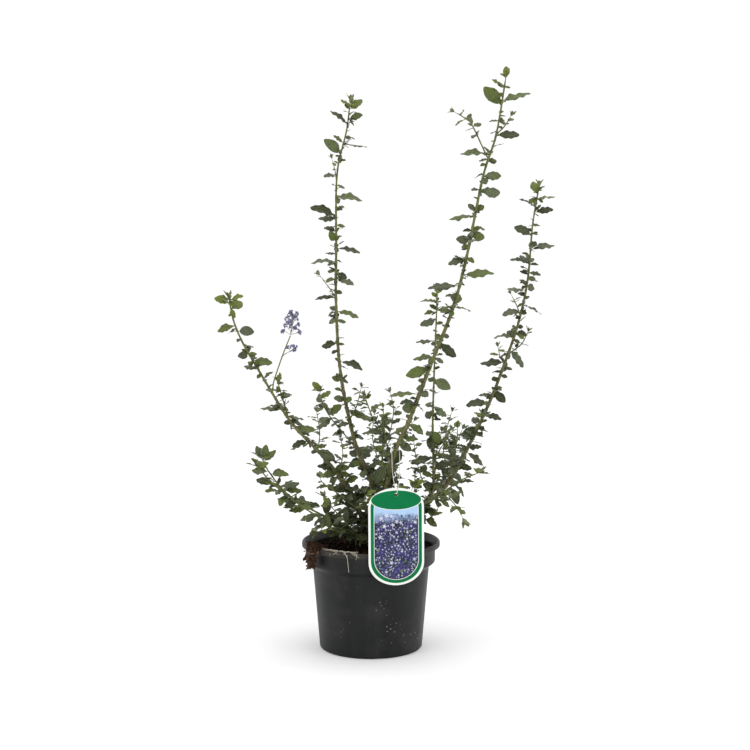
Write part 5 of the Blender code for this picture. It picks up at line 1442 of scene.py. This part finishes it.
# Points of the label's own plane in the plant's frame: turned about the vertical, tilted back, and
# just clear of the rim.
def onLabel(x, y, z):
    turn, tilt = hangLabel["turn"], hangLabel["tilt"]
    right, high = hangLabel["middle"]
    radius, top = hangLabel["rim"]
    out = radius + hangLabel["clear"] + hangLabel["thick"] / 2 - (high - top) * math.tan(tilt)
    front = -(out - right * math.sin(turn)) / math.cos(turn)
    place = np.array(Matrix.Translation((right, front, high)) @ Matrix.Rotation(turn, 4, "Z")
                     @ Matrix.Rotation(-tilt, 4, "X"))
    return np.stack(np.broadcast_arrays(x, y, z), -1) @ place[:3, :3].T + place[:3, 3]


# Points over the label, its loop, the tuft and the flower stalk that leaves stay away from.
def labelGuard():
    grid = np.meshgrid(np.arange(-33, 34, 4), np.arange(-57, 58, 4), indexing="ij")
    x, z = (marks.ravel() / 1000 for marks in grid)
    tuft = [(-.070 + .008 * i, -.050 - .006 * j, .1400) for i in range(-2, 3) for j in range(-1, 2)]
    stalk = np.array(flowerStalk + [(-92, -46, 414)]) / 1000
    return np.vstack([onLabel(x, 0., z), smoothPath(np.array(loopRoute) / 1000), tuft, smoothPath(stalk, 4)])


# Half ellipses on straight sides, drawn in by the inset.
def labelOutline(inset, count=24):
    half, tall = hangLabel["wide"] / 2 - inset, hangLabel["tall"] / 2 - inset
    q = np.pi * np.arange(count + 1) / count
    arc, foot = hangLabel["topArc"] - inset * .6, hangLabel["footArc"] - inset * .4
    top = np.stack([half * np.cos(q), tall - arc + arc * np.sin(q)], 1)
    return np.vstack([top, np.stack([-half * np.cos(q), -tall + foot - foot * np.sin(q)], 1)])


# An ellipse across the label's top.
def headerOutline(grow):
    middle, tall, rim = hangLabel["header"]
    q = 2 * np.pi * np.arange(64) / 64
    half = hangLabel["wide"] / 2 - hangLabel["border"] - rim + grow
    return np.stack([half * np.cos(q), middle + (tall + grow) * np.sin(q)], 1)


# A flat plate between two depths, its faces drawn from the hole's circle to the outline.
def slab(outline, front, back, look, bevel=0.):
    middle, radius = hangLabel["hole"]
    centre = np.array([0., middle])
    inner = centre + unitRows(outline - centre) * radius
    small = outline + unitRows(centre - outline) * bevel
    rings = [(inner, front), (outline, front), (outline, back), (inner, back)]
    if bevel:
        rings[1:3] = [(small, front), (outline, front + bevel), (outline, back - bevel), (small, back)]
    points = [onLabel(ring[:, 0], depth, ring[:, 1]) for ring, depth in rings]
    return surface(np.vstack(points), [(ringFaces(len(rings), len(outline), True), look)])


# A printed shape as a thin closed plate: a fan in front, a wall, a fan inside the card.
def printed(outline, centre, front, look):
    n = len(outline)
    back = -hangLabel["thick"] / 2 + .00001
    flat = np.vstack([outline, outline, [centre, centre]])
    points = onLabel(flat[:, 0], np.concatenate([np.repeat((front, back), n), (front, back)]), flat[:, 1])
    return surface(points, [(ringFaces(2, n), look), (fanFaces(0, n, 2 * n, False), look),
                            (fanFaces(n, n, 2 * n + 1), look)])


# A plain printed flower of five petals: radius = size (.66 + .34 cos 5q).
def blossom(x, z, size, start, front, look):
    q = 2 * np.pi * np.arange(20) / 20
    r = size * (.66 + .34 * np.cos(5 * q))
    outline = np.stack([x + r * np.cos(q + start), z + r * np.sin(q + start)], 1)
    return printed(outline, (x, z), front, look)


# A pointed oval: half width = .26 length sin(pi t).
def leafPrint(x, z, length, way, front, look):
    t = np.linspace(0, 1, 9)
    wide = length * .26 * np.sin(np.pi * t)
    along = np.concatenate([t, t[-2:0:-1]]) * length
    across = np.concatenate([wide, -wide[-2:0:-1]])
    outline = np.stack([x + along * math.cos(way) - across * math.sin(way),
                        z + along * math.sin(way) + across * math.cos(way)], 1)[::-1]
    return printed(outline, outline.mean(0), front, look)


# True where a printed flower of that size fits in the field, below the header.
def inField(x, z, room):
    edge = hangLabel["border"] + hangLabel["band"] + room
    half, low = hangLabel["wide"] / 2 - edge, edge - hangLabel["tall"] / 2
    arc = hangLabel["footArc"] - .003
    if abs(x) > half:
        return False
    return low + arc - arc * math.sqrt(max(1 - (x / half) ** 2, 0.)) < z < hangLabel["top"] - room


# Card, green edge, white line, field, the header's white rim and its green, then the printed flowers.
def addLabel():
    rng = np.random.RandomState(hangLabel["seed"])
    front, step = -hangLabel["thick"] / 2, hangLabel["layer"]
    border, line = hangLabel["border"], hangLabel["line"]
    inset, rim = border + hangLabel["band"], hangLabel["header"][2]
    surfaces = [slab(labelOutline(0.), front, -front, 0, hangLabel["bevel"])]
    layers = [(labelOutline(border), 1), (labelOutline(inset - line), 0), (labelOutline(inset), 2),
              (headerOutline(rim), 0), (headerOutline(0.), 1)]
    for level, (outline, look) in enumerate(layers, 1):
        surfaces.append(slab(outline, front - level * step, front + hangLabel["sunk"], look))
    spots = []
    least, more = hangLabel["blossomSize"]
    for _ in range(hangLabel["tries"]):
        if len(spots) >= hangLabel["blossoms"]:
            break
        x, z = rng.uniform(-.027, .027), rng.uniform(-.053, .026)
        size = least + more * rng.rand() ** 1.6
        gaps = [math.hypot(x - a, z - b) / (size + c) for a, b, c in spots]
        if inField(x, z, size) and all(gap > hangLabel["apart"] for gap in gaps):
            spots.append((x, z, size))
    for x, z, size in spots:
        start = rng.uniform(0, 6)
        length, way = size * hangLabel["leafLong"], start + .9
        wanted = rng.rand() < (.75 if z < hangLabel["lowest"] else .25)
        if wanted and inField(x + length * math.cos(way), z + length * math.sin(way), .0006):
            surfaces.append(leafPrint(x, z, length, way, front - 3.4 * step, 3))
        look = 4 + int(rng.choice(3, p=(.42, .34, .24)))
        surfaces.append(blossom(x, z, size, start, front - 4 * step, look))
        if look < 6:
            heart = size * rng.uniform(.3, .62)
            surfaces.append(blossom(x, z, heart, start + .6, front - 5 * step, look + 1))
    looks = [cardFinish(name, *colours) for name, colours in hangLabel["inks"].items()]
    looks.insert(2, fieldFinish())
    makePiece("hang_label", surfaces, looks, "label", 30)


# Screen print on polystyrene: even colour, a soft shine and a faint grain, drawn coarse so that it shows.
def cardFinish(name, first, second):
    look, tree, place = newMaterial(name)
    grain = addNode(tree, "TexNoise", {"Vector": place, "Scale": scaleFor(1.4), "Detail": 3.}, "Fac")
    wide = addNode(tree, "TexNoise", {"Vector": place, "Scale": scaleFor(25.)}, "Fac")
    colour = layCoats(tree, linear(first), [(wide, .35, .65, 1., second)])
    rough = addNode(tree, "MapRange", {0: grain, 1: .3, 2: .7, 3: .28, 4: .42})
    return setShader(look, rough, .11, colour, (grain, .12, .0001))


# The printed field: pale sky blue above, sinking to a violet green lower down.
def fieldFinish():
    look, tree, place = newMaterial("printed_field")
    tall = addNode(tree, "SeparateXYZ", {0: place}, 2)
    cloud = addNode(tree, "TexNoise", {"Vector": place, "Scale": scaleFor(7.7), "Detail": 3.}, "Fac")
    edge = addNode(tree, "Math", {0: cloud, 1: .012, 2: tall}, operation="MULTIPLY_ADD")
    low, violet = hangLabel["ground"]
    colour = layCoats(tree, linear(low), [(cloud, .4, .6, 1., violet),
                                          (edge, .174, .187, 1., hangLabel["sky"])])
    return setShader(look, .40, .16, colour)


# The loop that ties the label to the tallest shoot: a round thread carried along a closed curve.
labelTie = {"radius": .00042, "sides": 10, "steps": 9, "pale": "#bdbcae", "bright": "#d6d5c9"}


def addLoop():
    ring = smoothPath(np.array(loopRoute) / 1000, labelTie["steps"], True)
    along = unitRows(np.roll(ring, -1, axis=0) - np.roll(ring, 1, axis=0))
    out = ring - ring.mean(axis=0)
    first = unitRows(out - along * (out * along).sum(1, keepdims=True))
    points = ring[:, None] + labelTie["radius"] * circleRound(first, along, labelTie["sides"])
    thread = surface(points, [(ringFaces(len(ring), labelTie["sides"], True), 0)])
    makePiece("label_tie", [thread], [loopFinish()], "label_loop", 60)


# Clear nylon, drawn thin: milky and glossy.
def loopFinish():
    look, tree, place = newMaterial("clear_nylon_loop")
    cloud = addNode(tree, "TexNoise", {"Vector": place, "Scale": scaleFor(3.3), "Detail": 2.}, "Fac")
    colour = layCoats(tree, linear(labelTie["pale"]), [(cloud, .35, .65, 1., labelTie["bright"])])
    return setShader(look, .32, .5, colour, (cloud, .2, .0001))


# Camera, floor and soft studio light.
studio = {
    "cameraAt": (.005, -1.700, .483),
    "cameraDown": 4.95,
    "lens": 67.1,
    "sensor": 36,
    "floorHalf": 20,
    "floorHeight": -.0005,
    "floor": "#ffffff",
    "sky": 1.03,
    "lampAim": (0, 0, .3),
    # place, size, power
    "lamps": {"window_left": ((-1.6, -1.5, 1.9), 1.4, 8), "window_right": ((1.9, -1.1, 1.4), 1.2, 7),
              "top": ((.2, .5, 2.4), 1.6, 6)},
}


def addCamera():
    camera = bpy.data.objects.new("camera", bpy.data.cameras.new("camera"))
    camera.data.lens = studio["lens"]
    camera.data.sensor_width = studio["sensor"]
    camera.location = studio["cameraAt"]
    camera.rotation_euler = (math.radians(90 - studio["cameraDown"]), 0, 0)
    bpy.context.scene.collection.objects.link(camera)
    bpy.context.scene.camera = camera


def addStudio():
    scene = bpy.context.scene
    mesh = bpy.data.meshes.new("floor")
    half, z = studio["floorHalf"], studio["floorHeight"]
    corners = [(-half, -half, z), (half, -half, z), (half, half, z), (-half, half, z)]
    mesh.from_pydata(corners, [], [(0, 1, 2, 3)])
    mesh.materials.append(setShader(newMaterial("pale_studio_floor")[0], .9, .1, linear(studio["floor"])))
    floor = bpy.data.objects.new("floor", mesh)
    scene.collection.objects.link(floor)
    scene.view_settings.view_transform = "Standard"
    scene.view_settings.look = "None"
    scene.world = bpy.data.worlds.new("studio")
    scene.world.use_nodes = True
    tree = scene.world.node_tree
    feed(tree, tree.nodes["Background"], {0: (1., 1., 1., 1.), 1: studio["sky"]})
    for name, (place, size, power) in studio["lamps"].items():
        lamp = bpy.data.lights.new(name, "AREA")
        lamp.shape = "DISK"
        lamp.size = size
        lamp.energy = power
        obj = bpy.data.objects.new(name, lamp)
        obj.location = place
        obj.rotation_euler = (Vector(studio["lampAim"]) - Vector(place)).to_track_quat("-Z", "Y").to_euler()
        scene.collection.objects.link(obj)


addCamera()
addStudio()
shrub = growShrub(labelGuard())
addPot()
addSoil()
addRoots()
addLabel()
addLoop()
print("pot, mix, roots and label made")
leafLooks = [leafTopFinish(), leafUnderFinish(), barkFinish()]
stalkPath = smoothPath(np.array(flowerStalk) / 1000, 8)
stalks = [tubeSurface(stalkPath, np.linspace(.0010, .0007, len(stalkPath)), 8, 2, .05),
          tubeSurface(smoothPath(np.array(sideStalk) / 1000, 6), .00045, 6, 2, .05)]
for node in shoots:
    addShoot(node, shrub, leafLooks, stalks if node == "shoot_left" else ())
flowerLooks = [stalkFinish("flower_thread", *flowerShape["thread"], .6),
               petalFinish("lilac_petal", *flowerShape["lilac"]),
               petalFinish("blue_sepal", *flowerShape["blue"]),
               stalkFinish("anther", *flowerShape["anther"], .6)]
addFlower("flower_panicle", "flower_head", flowerShape["head"], flowerLooks)
addFlower("flower_cluster", "flower_side", flowerShape["side"], flowerLooks)
print("flowers made")
